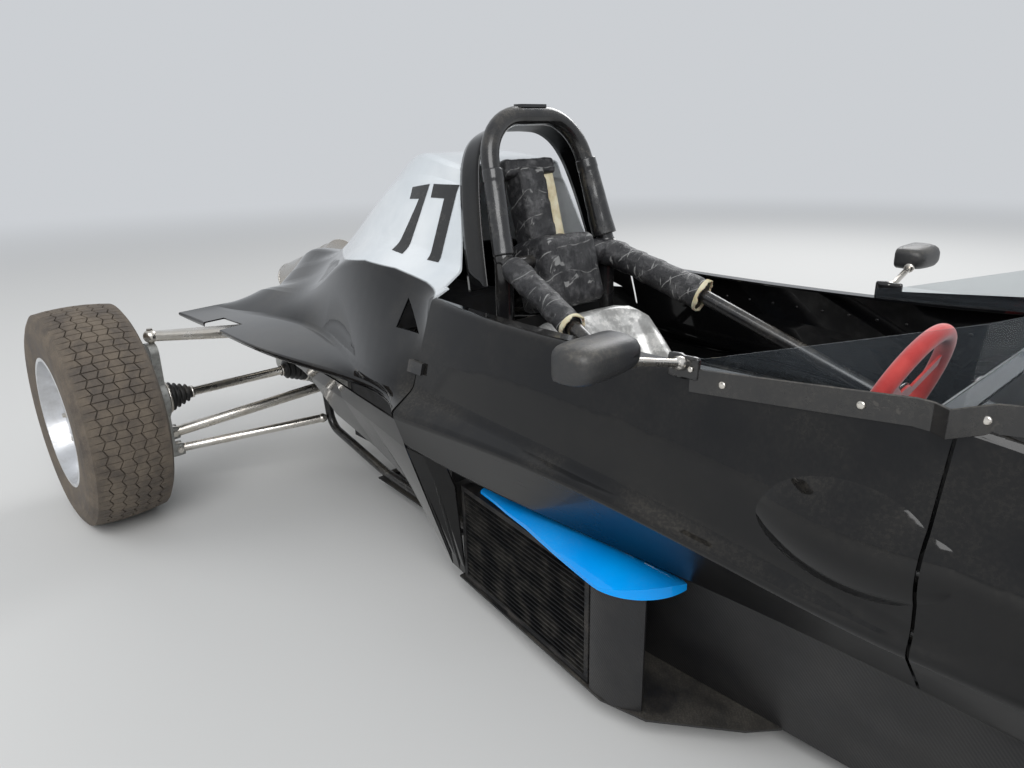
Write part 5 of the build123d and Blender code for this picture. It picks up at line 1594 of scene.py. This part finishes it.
cockpit_surface = surface_of("cockpit_body")
rivets = Cluster()
for side in (-1, 1):
    for number in range(RIVETS):
        start = sided(RIVET_FIRST + FORWARD * RIVET_PITCH * number, side)
        seat, normal = touch(cockpit_surface, start, ACROSS * side)
        if seat:
            rivets.turned(seat, normal, RIVET_OUTLINE, 14)
rivets.piece("cockpit_rivets", "frame_black")
print("rivets", len(rivets.faces), "faces")

# %% [markdown]
# ## Dials on the dash
# The driver reads a few round dials. Each is a black bezel with a pale face, fine marks round its
# edge, plain numbers and a needle. The faces look back at the driver, square to the dash.

# %% Dial sizes and helpers
DASH_FACE_X = 0.5848
DIALS = (
    # half width, height, radius, numbers, needle's share of its sweep
    (0.000, 0.5835, 0.034, ("0", "2", "4", "6", "8"), 0.05),
    (0.105, 0.552, 0.031, ("0", "5", "10"), 0.12),
    (-0.105, 0.552, 0.031, ("40", "80", "120"), 0.20),
)
SWEEP_START = math.radians(225)
SWEEP = math.radians(270)
BEZEL = ((0.0, 1.10), (0.006, 1.10), (0.009, 1.04), (0.009, 0.97), (0.004, 0.95))
FACE_LIFT, MARK_LIFT, NUMBER_LIFT, NEEDLE_LIFT = 0.0092, 0.0095, 0.0096, 0.0100
FACE_SIDES = 48
FACE_SHARE = 0.97
MARK_HALF = 0.0004
MARK_LONG, MARK_SHORT, MARK_END = 0.78, 0.86, 0.93
NEEDLE_HALF = 0.0014
NEEDLE_TAIL, NEEDLE_TIP = -0.2, 0.8
NUMBER_SHARE = 0.60
NUMBER_SIZE = 0.22
MARKS_PER_NUMBER = 4


def flat_finish(name, colour, roughness):
    """A painted face: one colour with a faint mottle and a fine tooth."""
    finish = Finish(name)
    mottle = finish.patches(0.3, 0.7, 90.0, 3.0)
    return finish.set(
        base_color=finish.blend(mottle, colour, tuple(part * 0.86 for part in colour)), roughness=roughness,
        normal=finish.bump(finish.noise(600.0, 2.0), 0.0003, 0.2),
    )


def on_dial(spot, dial, lift):
    """A place on a dial as the driver sees it: right and up on its face, and lifted off it."""
    return Vector((DASH_FACE_X - lift, dial[0] - spot[0], dial[1] + spot[1]))


def sweep_way(share):
    """The way outward on a dial at a share of its sweep."""
    angle = SWEEP_START - SWEEP * share
    return Vector((math.cos(angle), math.sin(angle)))


print("dials at", [dial[:2] for dial in DIALS])

# %% Build the dials
bezels, dial_faces, marks, numerals = Cluster(), Cluster(), Cluster(), Cluster()
for dial in DIALS:
    half_width, z, radius, numbers, needle_share = dial
    bezel = [(along, wide * radius) for along, wide in BEZEL]
    bezels.turned((DASH_FACE_X, half_width, z), -FORWARD, bezel, FACE_SIDES)
    rim = [Vector((math.cos(angle), math.sin(angle))) * radius * FACE_SHARE for angle in turns(FACE_SIDES)]
    dial_faces.add([on_dial(spot, dial, FACE_LIFT) for spot in rim], [tuple(range(FACE_SIDES))])
    ticks = MARKS_PER_NUMBER * (len(numbers) - 1)
    for tick in range(ticks + 1):
        out = sweep_way(tick / ticks)
        beside = Vector((-out.y, out.x)) * MARK_HALF
        begin = MARK_SHORT if tick % MARKS_PER_NUMBER else MARK_LONG
        inner, outer = out * radius * begin, out * radius * MARK_END
        mark = (inner - beside, outer - beside, outer + beside, inner + beside)
        marks.add([on_dial(spot, dial, MARK_LIFT) for spot in mark], [(0, 1, 2, 3)])
    out = sweep_way(needle_share)
    beside = Vector((-out.y, out.x)) * NEEDLE_HALF
    tail, tip = out * radius * NEEDLE_TAIL, out * radius * NEEDLE_TIP
    needle = (tail - beside, tip, tail + beside)
    marks.add([on_dial(spot, dial, NEEDLE_LIFT) for spot in needle], [(0, 1, 2)])
    for order, number in enumerate(numbers):
        middle = sweep_way(order / (len(numbers) - 1)) * radius * NUMBER_SHARE
        letters = bpy.data.curves.new("number", "FONT")
        letters.body, letters.size = number, radius * NUMBER_SIZE
        letters.align_x, letters.align_y = "CENTER", "CENTER"
        shown = bpy.data.objects.new("number", letters)
        flat = bpy.data.meshes.new_from_object(shown)
        spots = [on_dial(middle + vertex.co.xy, dial, NUMBER_LIFT) for vertex in flat.vertices]
        numerals.add(spots, [face.vertices for face in flat.polygons])
        bpy.data.objects.remove(shown)
marks.add(numerals.points, numerals.faces)
dial_white = flat_finish("dial_white", (0.78, 0.78, 0.74), 0.35)
dial_black = flat_finish("dial_black", (0.012, 0.012, 0.012), 0.4)
bezels.piece("dial_bezels", "frame_black")
dial_faces.piece("dial_faces", "mirror_grey", finish=dial_white, smooth=False)
marks.piece("dial_marks", "frame_black", finish=dial_black, smooth=False)
print(len(DIALS), "dials")

# %% [markdown]
# ## Bolts that catch the eye
# Fasteners give a car its scale. The steering wheel's boss has a ring of small screws, and two
# studs stand in the bracket on top of the hoop.

# %% Wheel boss and hoop bracket
WHEEL_CENTRE = Vector((0.475, 0, 0.556))
WHEEL_TILT = math.radians(20)
WHEEL_AXIS = Vector((-math.cos(WHEEL_TILT), 0, math.sin(WHEEL_TILT)))
BOSS_OUTLINE = (
    (0.0005, 0.034), (0.003, 0.034), (0.006, 0.030), (0.007, 0.018), (0.006, 0.013), (0.006, 0.004)
)
SCREW_CIRCLE = 0.024
SCREW_LIFT = 0.0055
SMALL_SCREW = ((0, 0.0034), (0.0022, 0.0034), (0.003, 0.0026), (0.003, 0.0012))
STUD_PLACES = ((-0.313, -0.025, 0.9965), (-0.313, 0.025, 0.9965))
STUD_OUTLINE = ((0.0, 0.0035), (0.008, 0.0035), (0.0112, 0.0035), (0.0112, 0.0030))

boss, boss_screws, studs = Cluster(), Cluster(), Cluster()
boss.turned(WHEEL_CENTRE, WHEEL_AXIS, BOSS_OUTLINE, 40)
upright = WHEEL_AXIS.cross(ACROSS).normalized()
for angle in turns(6):
    angle += math.radians(30)
    spot = (ACROSS * math.cos(angle) + upright * math.sin(angle)) * SCREW_CIRCLE
    boss_screws.turned(WHEEL_CENTRE + WHEEL_AXIS * SCREW_LIFT + spot, WHEEL_AXIS, SMALL_SCREW, 6)
for place in STUD_PLACES:
    studs.turned(place, UP, STUD_OUTLINE, 16)
boss.piece("wheel_boss", "frame_black", body="steering_wheel")
boss_screws.piece("wheel_boss_screws", "nickel", body="steering_wheel")
studs.piece("hoop_bracket_studs", "nickel")
print("screws", len(boss_screws.faces) + len(studs.faces), "faces")

# %% [markdown]
# ## The driver's shell
# The seat is one thin moulding, laid up in a bath of fibre, so it has no sharp fold anywhere. The
# flat panels of its model are divided, and each corner moves half way to the mean of its
# neighbours, again and again, until the folds are curves.

# %% Rounded seat
SEAT_ROUNDS = 3
SEAT_LONG_EDGE = 0.03

seat_mesh = bmesh.new()
seat_mesh.from_mesh(frame["nodes"]["driver_seat"].data)
seat_mesh.transform(frame["nodes"]["driver_seat"].matrix_world)
bmesh.ops.remove_doubles(seat_mesh, verts=seat_mesh.verts, dist=1e-5)
bmesh.ops.triangulate(seat_mesh, faces=seat_mesh.faces)
long_edges = [edge for edge in seat_mesh.edges if edge.calc_length() > SEAT_LONG_EDGE]
bmesh.ops.subdivide_edges(seat_mesh, edges=long_edges, cuts=3, use_grid_fill=True)
bmesh.ops.triangulate(seat_mesh, faces=seat_mesh.faces)
for _ in range(SEAT_ROUNDS):
    moved = []
    for vertex in seat_mesh.verts:
        near = [edge.other_vert(vertex).co for edge in vertex.link_edges]
        moved.append(vertex.co.lerp(sum(near, Vector()) / len(near), 0.5))
    for vertex, place in zip(seat_mesh.verts, moved):
        vertex.co = place
seat = Cluster()
seat.take(seat_mesh)
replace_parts(seat.piece("rounded_seat", "seat"), "driver_seat")
print("seat", len(seat.faces), "triangles")

# %% [markdown]
# ## Silencer bands and outlet
# The can is rolled from thin steel, so its ends are folded into round rims. Two straps hold it,
# each drawn tight by a small bolt. The outlet is a short pipe, and a flat black disc across its
# mouth gives its inside: soot, and painted shade for the depth of the bore.

# %% Rims, straps and outlet
CAN_FRONT = Vector((-1.505, 0.205, 0.548))
CAN_REAR = Vector((-1.905, 0.205, 0.420))
CAN_RADIUS = 0.059
CAN_AXIS = (CAN_REAR - CAN_FRONT).normalized()
CAN_LENGTH = (CAN_REAR - CAN_FRONT).length
RIM_RISE = ((-0.004, -0.001), (-0.003, 0.0016), (0.0, 0.0024), (0.003, 0.0016), (0.004, -0.001))
STRAP_RISE = ((-0.011, -0.001), (-0.011, 0.0022), (0.011, 0.0022), (0.011, -0.001))
BANDS = ((-0.002, RIM_RISE), (CAN_LENGTH - 0.006, RIM_RISE), (0.075, STRAP_RISE), (0.140, STRAP_RISE))
EAR_WAY = Vector((0.305, 0, 0.952)).cross(CAN_AXIS).normalized()
EAR_RISE = 0.004
STRAP_BOLT = (
    (0, 0.0045), (0.003, 0.0045), (0.003, 0.0030), (0.019, 0.0030), (0.019, 0.0045), (0.022, 0.0045),
    (0.022, 0.0020),
)
STRAP_BOLT_HALF = 0.011
OUTLET_AT = CAN_LENGTH + 0.0187
OUTLET_BORE = ((0.0, 0.0262), (-0.0008, 0.0262), (-0.0010, 0.0250), (-0.0010, 0.0002))

bands, strap_bolts, outlet = Cluster(), Cluster(), Cluster()
for along, rise in BANDS:
    middle = CAN_FRONT + CAN_AXIS * along
    bands.turned(middle, CAN_AXIS, [(step, CAN_RADIUS + height) for step, height in rise], 56)
    if rise is STRAP_RISE:
        ear = middle + EAR_WAY * (CAN_RADIUS + EAR_RISE)
        strap_bolts.turned(ear - UP * STRAP_BOLT_HALF, UP, STRAP_BOLT, 6)
# a flat black disc over the outlet's mouth: soot, and painted shade for the pipe's dark inside
outlet.turned(CAN_FRONT + CAN_AXIS * OUTLET_AT, -CAN_AXIS, OUTLET_BORE, 40)
bands.piece("silencer_bands", "stainless")
strap_bolts.piece("silencer_strap_bolts", "nickel")
# the soot finish is soot black and painted shade for the bore
outlet.piece("outlet_soot_and_shade", "frame_black", finish=flat_finish("soot", (0.006, 0.006, 0.006), 0.9))
print("silencer dressed,", len(bands.faces), "faces")
